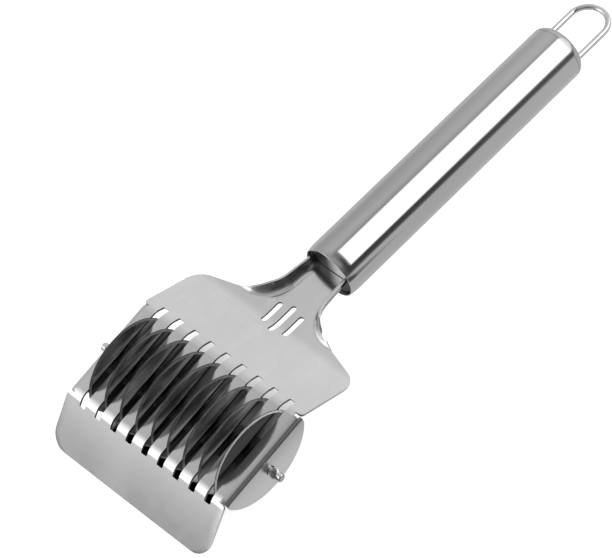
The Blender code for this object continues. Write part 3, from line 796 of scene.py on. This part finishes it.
def rear_outline():
    """The right edge behind the ear, seen from above, as (X, Y): shoulder, sweep and neck."""
    side = Vector((HALF_WIDTH, REAR_BEND_Y))
    shoulder = Vector((HALF_WIDTH, SHOULDER_Y))
    root = Vector((NECK_ROOT_HALF, NECK_ROOT_Y))
    end = Vector((NECK_END_HALF, MOUTH_Y))
    outline = fillet(side, shoulder, root, SHOULDER_RADIUS, BEND_STEPS)
    start_share = (HALF_WIDTH - FLANGE_START_HALF) / (HALF_WIDTH - NECK_ROOT_HALF)
    flange_start = shoulder + (root - shoulder) * start_share
    sweep = fillet(flange_start, root, end, NECK_SWEEP_RADIUS, 2 * BEND_STEPS)
    steps = STRAIGHT_STEPS
    outline += [flange_start + (sweep[0] - flange_start) * step / steps for step in range(steps)]
    outline += sweep
    outline += [sweep[-1] + (end - sweep[-1]) * step / steps for step in range(1, steps + 1)]
    outline.append(Vector((NECK_END_HALF, neck_point(TANG_IN).x)))
    return outline


def flange_section(high):
    """A raised edge from the floor up, as (run outwards, rise): a fillet and a straight wall."""
    full = FLANGE_FILLET * (1 - math.cos(FLANGE_LEAN))
    lean = FLANGE_LEAN if high >= full else math.acos(1 - high / FLANGE_FILLET)
    points = []
    for step in range(FLANGE_STEPS + 1):
        angle = lean * step / FLANGE_STEPS
        points.append(Vector((FLANGE_FILLET * math.sin(angle), FLANGE_FILLET * (1 - math.cos(angle)))))
    rest = max(high - full, 0) / math.sin(FLANGE_LEAN)
    points.append(points[-1] + rest * Vector((math.cos(lean), math.sin(lean))))
    return points


def flange_height(gone, y):
    """How high the neck's edge is turned up, by the distance gone along it and the place."""
    share = min(gone / FLANGE_RUN, 1)
    fall = min(max((y - SHOULDER_Y) / (MOUTH_Y - SHOULDER_Y), 0), 1)
    return FLANGE_HIGH * eased(share) - share * (FLANGE_HIGH - FLANGE_END_HIGH) * fall


def flap_rows():
    """The flap's rows as (Y, half width), from the tip's round corners up to the bend."""
    tip = side_corners()[0]
    rows = []
    for angle in quarter_turn(BEND_STEPS):
        from_tip = FLAP_CORNER * (1 - math.cos(angle))
        half = HALF_WIDTH - FLAP_CORNER * (1 - math.sin(angle))
        rows.append((tip.x + from_tip * math.cos(FLAP_SLOPE), half))
    return rows


def bend_rows():
    """Rows at even turns round each bend."""
    rows = []
    for bend in side_bends():
        start = math.asin((bend.first - bend.centre.x) / bend.radius)
        turn = math.asin((bend.last - bend.centre.x) / bend.radius) - start
        for step in range(BEND_STEPS + 1):
            rows.append(bend.centre.x + bend.radius * math.sin(start + turn * step / BEND_STEPS))
    return rows


def head_rows(outline):
    """Every row across the sheet in front of the neck's floor, as (Y, half width)."""
    rows = flap_rows()
    floor = side_bends()[-1].last
    reach = math.asin(EAR_END_Y / EAR_RADIUS)
    ear = [EAR_RADIUS * math.sin(reach * (2 * step / EAR_STEPS - 1)) for step in range(EAR_STEPS + 1)]
    near_ear = EAR_END_Y + EAR_RELIEF
    reliefs = [side * y for side in LEFT_AND_RIGHT for y in (near_ear, near_ear + BORDER_CORNER)]
    shoulder = [point.y for point in outline if point.y < floor]
    fixed = ear + reliefs + shoulder + [floor]
    bends = [y for y in bend_rows() if min(abs(y - other) for other in fixed) > ROW_GAP]
    edge = [(HALF_WIDTH, rows[-1][0])] + [(point.x, point.y) for point in outline]
    for y in sorted(fixed + bends):
        rows.append((y, width_at(edge, y)))
    return rows


def border_half(half, y):
    """The half width of a flat border, whose corner beside the ear is rounded off."""
    short = EAR_END_Y + EAR_RELIEF + BORDER_CORNER - abs(y)
    if short <= 0:
        return half
    return half - BORDER_CORNER + math.sqrt(BORDER_CORNER ** 2 - min(short, BORDER_CORNER) ** 2)


def width_at(edge, y):
    """The sheet's half width at a place along the tool."""
    for (first_x, first_y), (second_x, second_y) in zip(edge, edge[1:]):
        if first_y <= y <= second_y:
            return first_x + (second_x - first_x) * (y - first_y) / (second_y - first_y)
    return edge[-1][0]


def add_strips(bm, rows):
    """Faces between neighbouring rows of vertices, which are all of the same length."""
    for first, second in zip(rows, rows[1:]):
        for corners in zip(first, first[1:], second[1:], second):
            bm.faces.new(corners)


def head_half():
    """The right half of the head's top face, open at the plane of symmetry."""
    bm = bmesh.new()
    outline = rear_outline()
    rows = []
    for y, half in head_rows(outline):
        z = height_at(y)
        flat = y < outline[0].y
        edge_x = half - EAR_BEND if flat else half
        rows.append(Row(y, z, half, bm.verts.new((0, y, z)), bm.verts.new((edge_x, y, z)), flat))
    for near, far in zip(rows, rows[1:]):
        bm.faces.new((near.middle, near.edge, far.edge, far.middle))
    add_borders(bm, rows)
    add_ear(bm, rows)
    add_neck(bm, outline, rows[-1])
    bmesh.ops.remove_doubles(bm, verts=bm.verts, dist=MERGE)
    bmesh.ops.recalc_face_normals(bm, faces=bm.faces)
    if sum(face.normal.z * face.calc_area() for face in bm.faces) < 0:
        bmesh.ops.reverse_faces(bm, faces=bm.faces)
    return mesh_from(bm, "bent_head")


def add_borders(bm, rows):
    """The flat borders of the flap and of the rear slope. The ear and its reliefs have none."""
    ear_room = EAR_END_Y + EAR_RELIEF - MERGE
    for near, far in zip(rows, rows[1:]):
        if not near.flat or max(-far.y, near.y) < ear_room:
            continue
        corners = [near.edge, bm.verts.new((border_half(near.half, near.y), near.y, near.z))]
        if far.flat:
            corners.append(bm.verts.new((border_half(far.half, far.y), far.y, far.z)))
        bm.faces.new(corners + [far.edge])


def add_ear(bm, rows):
    """The right ear: a round bend down from the deck's edge, then a flat face with a round outline."""
    columns = []
    for row in rows:
        if abs(row.y) > EAR_END_Y + MERGE:
            continue
        column = [row.edge]
        for angle in quarter_turn(BEND_STEPS)[1:]:
            out = EAR_BEND * math.sin(angle)
            down = EAR_BEND * (1 - math.cos(angle))
            column.append(bm.verts.new((row.edge.co.x + out, row.y, row.z - down)))
        bottom = EAR_CENTRE_UP - math.sqrt(EAR_RADIUS ** 2 - row.y ** 2)
        column.append(bm.verts.new((row.edge.co.x + EAR_BEND, row.y, min(bottom, row.z - EAR_BEND))))
        columns.append(column)
    add_strips(bm, columns)


def neck_frame(x, y, over_floor):
    """A point over the neck's floor, in the tool's frame."""
    along = (y - neck_point(0).x) / math.cos(HANDLE_SLOPE)
    point = neck_point(along, over_floor)
    return x, point.x, point.y


def add_neck(bm, outline, last_row):
    """The neck's flat floor as one face, and the edge that is turned up along the sweep."""
    start = next(i for i, point in enumerate(outline) if abs(point.x - FLANGE_START_HALF) < MERGE)
    chain = outline[start:]
    gone = 0
    columns = []
    for index, point in enumerate(chain):
        before = chain[max(index - 1, 0)]
        after = chain[min(index + 1, len(chain) - 1)]
        gone += (point - before).length
        way = (after - before).normalized()
        outwards = Vector((way.y, -way.x))
        section = flange_section(flange_height(gone, point.y))
        column = []
        for run, rise in section:
            place = point + outwards * (run - section[-1].x)
            column.append(bm.verts.new(neck_frame(place.x, place.y, rise)))
        columns.append(column)
    add_strips(bm, columns)
    end = neck_point(TANG_IN)
    floor = [last_row.middle, last_row.edge]
    side = [point for point in outline[:start] if point.y > last_row.y]
    floor += [bm.verts.new(neck_frame(point.x, point.y, 0)) for point in side]
    floor += [column[0] for column in columns]
    bm.faces.new(floor + [bm.verts.new((0, end.x, end.y))])


def build_head(place, trees, finish, cut_finish):
    """The one-piece bent sheet, punched for the blades, the vents and the axle, its edges softened."""
    head = plain_object("bent_head", head_half())
    mirror = head.modifiers.new("mirror", "MIRROR")
    mirror.merge_threshold = MERGE
    wall = head.modifiers.new("sheet", "SOLIDIFY")
    wall.thickness = SHEET
    wall.offset = -1
    wall.use_even_offset = True
    tall = 2 * (FLAP_LENGTH + DECK_UP)
    looks = {"Finish": finish, "Cut_Finish": cut_finish}
    run_tree(
        head, trees["punch"], Count=BLADE_COUNT, Pitch=BLADE_PITCH, Width=SLOT_WIDTH,
        Length=SLOT_REAR_Y - SLOT_FRONT_Y, Depth=tall, Corner=SLOT_CORNER,
        Middle=(SLOT_SHIFT, (SLOT_FRONT_Y + SLOT_REAR_Y) / 2, DECK_UP), **looks,
    )
    for count, length in ((2, VENT_SIDE_LENGTH), (1, VENT_MIDDLE_LENGTH)):
        run_tree(
            head, trees["punch"], Count=count, Pitch=2 * VENT_SPACING, Width=VENT_WIDTH, Length=length,
            Depth=tall, Corner=VENT_WIDTH / 2 - MERGE, Turn=(-HANDLE_SLOPE, 0.0, 0.0),
            Middle=(0.0, VENT_MIDDLE_Y, height_at(VENT_MIDDLE_Y)), **looks,
        )
    bore = 2 * (AXLE_RADIUS + RUNNING)
    run_tree(
        head, trees["punch"], Count=1, Width=bore, Length=bore, Depth=3 * HALF_WIDTH,
        Corner=bore / 2 - MERGE, Turn=(0.0, math.radians(90), 0.0), **looks,
    )
    settle(head)
    head.data.shade_smooth()
    head.data.set_sharp_from_angle(angle=math.radians(SHARP))
    soft = head.modifiers.new("soft_edges", "BEVEL")
    soft.width = SHEET_EDGE
    soft.segments = 2
    soft.limit_method = "ANGLE"
    soft.angle_limit = math.radians(SOFTEN_FROM)
    soft.use_clamp_overlap = False
    settle(head)
    crease(head, HEAD_SHARP)
    hand_over(head, place, "root", finish, ["head_plate"])


# Blades, axle, spacers.

def blade_x(index):
    """A blade's place along the axle."""
    return (index - (BLADE_COUNT - 1) / 2) * BLADE_PITCH


def build_blades(place, trees, finish):
    """Nine round blades, ground to an edge from both sides."""
    bore = AXLE_RADIUS + RUNNING
    half = BLADE_THICKNESS / 2
    edge = BLADE_EDGE / 2
    flat = BLADE_RADIUS - BLADE_BEVEL
    corners = (
        (flat, half), (BLADE_RADIUS, edge), (BLADE_RADIUS, -edge),
        (flat, -half), (bore, -half), (bore, half),
    )
    profile = rounded(corners, (0, edge / 2, edge / 2, 0, 0, 0), 2)
    for index in range(BLADE_COUNT):
        blade = turned_piece(f"ground_blade_{index + 1}", profile, BLADE_STEPS, trees, finish)
        crease(blade, BLADE_SHARP)
        node = f"blade_{index + 1}"
        hand_over(blade, place @ along_axle(blade_x(index)), node, finish, [node])


def spacer_profile(half):
    """The section of a spacer tube about its middle, its ends eased."""
    bore = AXLE_RADIUS + RUNNING
    corners = ((SPACER_RADIUS, half), (SPACER_RADIUS, -half), (bore, -half), (bore, half))
    return rounded(corners, (SPACER_CHAMFER, SPACER_CHAMFER, 0, 0))


def build_spacers(place, trees, finish):
    """The row of spacer tubes between the blades, and one sleeve at each end up to the ear."""
    half = (BLADE_PITCH - BLADE_THICKNESS) / 2 - SIDE_PLAY
    row = turned_piece(
        "spacer_row", spacer_profile(half), ROUND_STEPS, trees, finish, BLADE_COUNT - 1, BLADE_PITCH
    )
    crease(row)
    first = (blade_x(0) + blade_x(1)) / 2
    nodes = [f"spacer_{index}" for index in range(1, BLADE_COUNT)]
    hand_over(row, place @ along_axle(first), "axle", finish, nodes)
    inner = blade_x(BLADE_COUNT - 1) + BLADE_THICKNESS / 2 + SIDE_PLAY
    outer = HALF_WIDTH - SHEET - SIDE_PLAY
    for name, side in zip(("left", "right"), LEFT_AND_RIGHT):
        sleeve = turned_piece(
            f"end_sleeve_{name}", spacer_profile((outer - inner) / 2), ROUND_STEPS, trees, finish
        )
        crease(sleeve)
        middle = side * (outer + inner) / 2
        hand_over(sleeve, place @ along_axle(middle), "axle", finish, [f"end_spacer_{name}"])


def build_axle(place, finish):
    """The axle, pinched flat just outside each ear so that it can't slide out."""
    start = HALF_WIDTH + SEAT
    end = HALF_WIDTH + AXLE_OUT
    shares = [step / RIM_STEPS for step in range(RIM_STEPS + 1)]
    pinched = [(start + PINCH_LENGTH * share, eased(share)) for share in shares]
    pinched += [(start + PINCH_LENGTH * (2 + share), 1 - eased(share)) for share in shares]
    sizes = []
    for x, pinch in pinched:
        wide = AXLE_RADIUS + (PINCH_HALF_WIDE - AXLE_RADIUS) * pinch
        thin = AXLE_RADIUS + (PINCH_HALF_THIN - AXLE_RADIUS) * pinch
        sizes.append((x, wide, thin))
    for angle in quarter_turn(RIM_STEPS):
        radius = AXLE_RADIUS - AXLE_CHAMFER * (1 - math.cos(angle))
        sizes.append((end - AXLE_CHAMFER * (1 - math.sin(angle)), radius, radius))
    rings = [(-x, wide, thin) for x, wide, thin in reversed(sizes)] + sizes
    bm = bmesh.new()
    turn = Matrix.Rotation(PINCH_TURN, 3, "X")
    loops = []
    for x, wide, thin in rings:
        loop = []
        for step in range(ROUND_STEPS):
            angle = math.tau * step / ROUND_STEPS
            loop.append(bm.verts.new(turn @ Vector((x, wide * math.cos(angle), thin * math.sin(angle)))))
        loops.append(loop)
    add_strips(bm, [loop + loop[:1] for loop in loops])
    bm.faces.new(loops[0])
    bm.faces.new(loops[-1])
    rod = plain_object("axle_rod", mesh_from(bm, "axle_rod"))
    face_outwards(rod.data)
    crease(rod)
    hand_over(rod, place, "axle", finish, ["axle"])


# Handle.

def build_tube(place, trees, finish):
    """The handle's open tube, which thins to a soft rim at its mouth. Its rear rim meets the cap."""
    inner = HANDLE_RADIUS - TUBE_WALL
    rear = HANDLE_LENGTH - CAP_ROUND
    taper = MOUTH_TAPER_SHARE * TUBE_WALL
    rim = HANDLE_RADIUS - taper - MOUTH_ROUND
    profile = [(HANDLE_RADIUS, rear)]
    for step in range(BEND_STEPS + 1):
        share = step / BEND_STEPS
        along = MOUTH_TAPER_LENGTH + share * (MOUTH_ROUND - MOUTH_TAPER_LENGTH)
        profile.append((HANDLE_RADIUS - taper * share * share, along))
    for angle in quarter_turn(RIM_STEPS)[1:]:
        profile.append((rim + MOUTH_ROUND * math.cos(angle), MOUTH_ROUND * (1 - math.sin(angle))))
    profile += [(inner, 0), (inner, rear), (HANDLE_RADIUS, rear)]
    tube = turned_piece("grip_tube", profile, HANDLE_STEPS, trees, finish)
    crease(tube)
    hand_over(tube, place, "root", finish, ["handle_tube"])


def build_cap(place, trees, finish):
    """The pressed cap that closes the rear, with a spigot in the tube and two holes for the loop."""
    spigot = HANDLE_RADIUS - TUBE_WALL - SEAT
    seam = HANDLE_LENGTH - CAP_ROUND + SEAT / 3
    crown = HANDLE_RADIUS - CAP_ROUND
    profile = [(0, HANDLE_LENGTH)]
    for angle in quarter_turn(2 * BEND_STEPS):
        out = crown + CAP_ROUND * math.sin(angle)
        profile.append((out, HANDLE_LENGTH - CAP_ROUND * (1 - math.cos(angle))))
    profile[-1] = (HANDLE_RADIUS, seam)
    front = HANDLE_LENGTH - CAP_ROUND - CAP_SPIGOT
    back = HANDLE_LENGTH - CAP_WALL
    profile += [
        (spigot, seam), (spigot, front), (spigot - CAP_WALL, front), (spigot - CAP_WALL, back - CAP_WALL),
        (spigot - 2 * CAP_WALL, back), (0, back),
    ]
    cap = turned_piece("rear_cap", profile, HANDLE_STEPS, trees, finish)
    bore = 2 * WIRE_RADIUS + SEAT / 2
    run_tree(
        cap, trees["punch"], Count=2, Pitch=2 * LOOP_HALF, Width=bore, Length=bore, Depth=4 * CAP_ROUND,
        Corner=bore / 2 - MERGE, Middle=(0.0, 0.0, HANDLE_LENGTH), Finish=finish, Cut_Finish=finish,
    )
    settle(cap)
    crease(cap)
    hand_over(cap, place, "root", finish, ["end_cap"])


def loop_points():
    """The wire's centre line in the handle's frame: a foot, a leg, half a circle, a leg and a foot."""
    foot = HANDLE_LENGTH - CAP_WALL - SEAT - WIRE_RADIUS
    top = HANDLE_LENGTH + LOOP_REACH - LOOP_HALF - WIRE_RADIUS
    right = [(LOOP_HALF - LOOP_FOOT, foot)]
    for angle in quarter_turn(BEND_STEPS):
        out = LOOP_HALF - LOOP_FOOT_BEND * (1 - math.sin(angle))
        right.append((out, foot + LOOP_FOOT_BEND * (1 - math.cos(angle))))
    for angle in quarter_turn(2 * BEND_STEPS):
        right.append((LOOP_HALF * math.cos(angle), top + LOOP_HALF * math.sin(angle)))
    return right + [(-x, z) for x, z in reversed(right[:-1])]


def build_loop(place, trees, finish):
    """The hanging loop, one bent wire whose feet turn in behind the cap."""
    loop = plain_object("wire_loop", profile_mesh("wire_loop", loop_points()))
    run_tree(loop, trees["wire"], Radius=WIRE_RADIUS, Sides=ROUND_STEPS // 2, Finish=finish)
    settle(loop)
    face_outwards(loop.data)
    crease(loop, WIRE_SHARP)
    hand_over(loop, place, "root", finish, ["hang_loop"])


# Stage.

CAMERA_AIM = Vector((0.00896, -0.03508, 0.04104))
CAMERA_DISTANCE = 1.016
CAMERA_AZIMUTH = math.radians(59.46)
CAMERA_ELEVATION = math.radians(55.78)
CAMERA_ROLL = math.radians(-19.62)
CAMERA_LENS = 178.13
CAMERA_SENSOR = 36.0
CAMERA_REACH = 20.0

# The studio's light round the handle's line, as (degrees, level) stops that start below, go up on the left,
# over the top at 0 and down on the right, with levels up to the studio's top one. The first ring of light is
# ahead of the tool. Each further one takes over between two places, from -1 straight ahead to 1 straight
# behind. Shared runs of stops go from a bright card to the right, from the left to the top, and from a dark
# gap to the right.
STUDIO_TOP = 2.5
CARD_TO_RIGHT = (
    (-28, 1.90), (-20, 0.60), (0, 0.30), (25, 0.12), (70, 0.12), (93, 0.40), (120, 0.60), (180, 0.60),
)
LEFT_TO_TOP = (
    (-180, 0.60), (-92, 0.60), (-75, 0.57), (-49, 0.65), (-30, 0.72), (-16, 0.65), (-8, 0.42),
)
GAP_TO_RIGHT = ((80, 0.07), (88, 0.23), (93, 0.65), (180, 0.60))
LIGHT_AHEAD = ((-180, 0.60), (-110, 0.05), (-78.2, 0.08), (-77.2, 1.90), *CARD_TO_RIGHT)
FURTHER_LIGHTS = (
    (-0.885, -0.850, ((-180, 0.60), (-110, 0.10), (-80.6, 0.12), (-79.8, 1.90), *CARD_TO_RIGHT)),
    (-0.850, -0.120, (
        (-180, 0.60), (-92, 0.60), (-75, 0.57), (-49, 0.60), (-31, 0.66), (-28, 0.53), (20, 0.50),
        (37, 0.44), (53, 0.22), (69, 0.14), (85, 0.12), (93, 0.35), (120, 0.60), (180, 0.60),
    )),
    (0.10, 0.17, (
        *LEFT_TO_TOP, (0, 0.30), (18, 0.20), (25, 0.10), (50, 0.05), *GAP_TO_RIGHT,
    )),
    (0.300, 0.318, (
        *LEFT_TO_TOP, (-5, 0.36), (-1.6, 2.3), (60, 2.3), (63.5, 2.0), (66, 0.06), *GAP_TO_RIGHT,
    )),
    (0.36, 0.79, (
        (-180, 0.60), (-92, 0.62), (-60, 0.87), (-40, 0.87), (-10, 0.80), (0, 1.4), (60, 1.4),
        (75, 0.25), (93, 0.60), (180, 0.60),
    )),
)

# The floor: its half size, how near a piece has to be for its shade to be painted on it, from how many tries
# that is found, how open the floor is where it is painted dark and where it is pale, its grey and roughness,
# and the glow that keeps it white to the eye.
FLOOR_REACH = 3.0
FLOOR_OPEN = 0.04
FLOOR_TRIES = 16
FLOOR_FREE = (0.03, 0.14)
FLOOR_SHADE = 0.72
FLOOR_ROUGH = 0.9
FLOOR_GLOW = 0.85

# Where the head's painted shadow on the floor starts and is full, from the left, right, rear and front.
PAINTED_SHADOW_SIDES = (
    ("X", -0.038, -0.028), ("X", 0.0225, 0.0195), ("Y", -0.050, -0.085), ("Y", -0.1125, -0.1085),
)

# The floor's painted glow in the steel's reflections, bright and dim, and where it is painted dim: to the
# right, but not behind, and ahead.
POOL_BRIGHT = 0.70
POOL_DIM = 0.12
DIM_RIGHT = (0.050, 0.060)
DIM_BEHIND = (0.03, 0.0)
DIM_AHEAD = (-0.14, -0.20)


def build_camera():
    """The camera at the photograph's viewing angle."""
    ahead = Vector((-math.sin(CAMERA_AZIMUTH), math.cos(CAMERA_AZIMUTH), 0))
    forward = ahead * math.cos(CAMERA_ELEVATION) - Vector((0, 0, math.sin(CAMERA_ELEVATION)))
    level = forward.cross(Vector((0, 0, 1))).normalized()
    upright = level.cross(forward)
    right = level * math.cos(CAMERA_ROLL) + upright * math.sin(CAMERA_ROLL)
    top = right.cross(forward)
    data = bpy.data.cameras.new("camera")
    data.lens = CAMERA_LENS
    data.sensor_fit = "HORIZONTAL"
    data.sensor_width = CAMERA_SENSOR
    data.clip_end = CAMERA_REACH
    camera = plain_object("camera", data)
    turn = Matrix((right, top, -forward)).transposed().to_4x4()
    camera.matrix_world = Matrix.Translation(CAMERA_AIM - forward * CAMERA_DISTANCE) @ turn
    bpy.context.scene.camera = camera


def ramp_of(tree, factor, stops):
    """A grey ramp over a half turn each way, from (degrees, level) stops."""
    node = add_node(tree, "ShaderNodeValToRGB", {"Fac": factor})
    elements = node.color_ramp.elements
    while len(elements) > 1:
        elements.remove(elements[-1])
    for index, (degrees, level) in enumerate(stops):
        element = elements[0] if index == 0 else elements.new(1)
        element.position = degrees / 360 + 0.5
        element.color = grey(level / STUDIO_TOP)
    return node.outputs["Color"]


def build_studio(handle_up, handle_along):
    """A soft studio: a broad light over the handle, a card in front, pale walls and dark gaps between."""
    world = bpy.data.worlds.new("studio")
    bpy.context.scene.world = world
    world.use_nodes = True
    tree = world.node_tree
    tree.nodes.clear()
    way = tree.nodes.new("ShaderNodeTexCoord").outputs["Generated"]
    axes = (handle_along, handle_up, (1.0, 0.0, 0.0))
    along, over, across = (vector_sum(tree, "DOT_PRODUCT", way, axis)["Value"] for axis in axes)
    turn = calculate(tree, "DIVIDE", calculate(tree, "ARCTAN2", across, over), math.tau)
    around = calculate(tree, "ADD", turn, 0.5)
    colour = ramp_of(tree, around, LIGHT_AHEAD)
    for low, high, stops in FURTHER_LIGHTS:
        colour = mixed(tree, ranged(tree, along, low, high), colour, ramp_of(tree, around, stops))
    studio = result_of(tree, "ShaderNodeBackground", {"Color": colour, "Strength": STUDIO_TOP})
    white = result_of(tree, "ShaderNodeBackground", {"Color": grey(1), "Strength": 1.0})
    seen = tree.nodes.new("ShaderNodeLightPath").outputs["Is Camera Ray"]
    mix = result_of(tree, "ShaderNodeMixShader", {0: seen, 1: studio, 2: white})
    add_node(tree, "ShaderNodeOutputWorld", {"Surface": mix})


def build_floor(height):
    """A plain pale floor that keeps the object's soft shadow, which is also painted into its grey and glow.
    """
    bm = bmesh.new()
    bmesh.ops.create_grid(bm, x_segments=1, y_segments=1, size=FLOOR_REACH)
    bmesh.ops.translate(bm, verts=bm.verts, vec=(0, 0, height))
    floor = plain_object("floor", mesh_from(bm, "floor"))
    finish, tree, shader = new_finish("pale_floor", 0)
    shader.inputs["Roughness"].default_value = FLOOR_ROUGH
    shader.inputs["Specular IOR Level"].default_value = 0.0
    shader.inputs["Emission Color"].default_value = grey(1)
    path = tree.nodes.new("ShaderNodeLightPath").outputs
    mirrored = calculate(tree, "ADD", path["Is Glossy Ray"], path["Is Transmission Ray"])
    # Painted shade: the floor's glow and grey are darkened where a piece stands near it.
    around = add_node(tree, "ShaderNodeAmbientOcclusion", {"Distance": FLOOR_OPEN}, samples=FLOOR_TRIES)
    free = ranged(tree, around.outputs["AO"], *FLOOR_FREE)
    where = parts_of(tree, tree.nodes.new("ShaderNodeNewGeometry").outputs["Position"])
    # A painted shadow of the head, in a box on the floor.
    shadow = 1.0
    for axis, start, stop in PAINTED_SHADOW_SIDES:
        shadow = multiply(tree, shadow, ranged(tree, where[axis], start, stop))
    free = multiply(tree, free, calculate(tree, "SUBTRACT", 1.0, shadow))
    seen = multiply(tree, multiply(tree, path["Is Camera Ray"], free), FLOOR_GLOW)
    # The painted glow that reflections see in place of the floor's grey, painted dim in places and in the
    # painted shadow.
    dim = multiply(tree, ranged(tree, where["X"], *DIM_RIGHT), ranged(tree, where["Y"], *DIM_BEHIND))
    for other in (ranged(tree, where["Y"], *DIM_AHEAD), shadow):
        dim = calculate(tree, "MAXIMUM", dim, other)
    pool = multiply(tree, mirrored, between(tree, dim, POOL_BRIGHT, POOL_DIM))
    tree.links.new(calculate(tree, "ADD", seen, pool), shader.inputs["Emission Strength"])
    open_floor = multiply(tree, free, calculate(tree, "SUBTRACT", 1.0, mirrored))
    tree.links.new(shade_between(tree, open_floor, 0.0, FLOOR_SHADE), shader.inputs["Base Color"])
    floor.data.materials.append(finish)


def main():
    axle = next(joint for joint in frame["record"]["behaviour"]["joints"] if joint["name"] == "axle_spin")
    loop = next(mount for mount in frame["record"]["mounts"] if mount["name"] == "hang_loop")
    handle_up = Vector(loop["axis"])
    tilt = HANDLE_SLOPE - math.atan2(handle_up.y, handle_up.z)
    centre = Vector(axle["pos_m"])
    tool = Matrix.Translation(centre) @ Matrix.Rotation(tilt, 4, "X")
    aim = Matrix.Rotation(-math.radians(90) - HANDLE_SLOPE, 4, "X")
    handle = tool @ Matrix.Translation((0, MOUTH_Y, MOUTH_UP)) @ aim

    trees = {"turned": turned_tree(), "wire": wire_tree(), "punch": punch_tree()}
    groups = {
        "grain": grain_group(), "patches": patches_group(), "rings": rings_group(), "edges": edges_group(),
    }
    steels = (SHEET_STEEL, TUBE_STEEL, ROD_STEEL, SPACER_STEEL, CUT_SHADE_STEEL)
    sheet, tube, rod, spacer, cut_edge_shade = (steel_finish(steel, groups) for steel in steels)
    plug = steel_finish(PLUG_STEEL, groups, PLUG_METALLIC)
    satin_ears(sheet)
    paint_neck_edge_shade(sheet)
    paint_plug_shade_and_highlight(plug, (tool @ Vector((0, *neck_point(0)))).z)
    blade = blade_finish(groups, tuple(centre))

    build_head(tool, trees, sheet, cut_edge_shade)
    build_blades(tool, trees, blade)
    build_spacers(tool, trees, spacer)
    build_axle(tool, rod)
    build_tube(handle, trees, tube)
    build_cap(handle, trees, tube)
    build_loop(handle, trees, rod)
    filler = frame["nodes"]["handle_plug"]
    filler.data.materials.clear()
    filler.data.materials.append(plug)

    build_camera()
    build_studio(handle_up, handle.to_3x3() @ Vector((0, 0, 1)))
    build_floor(cad_box[0][2])
    bpy.context.scene.view_settings.view_transform = "Standard"


main()
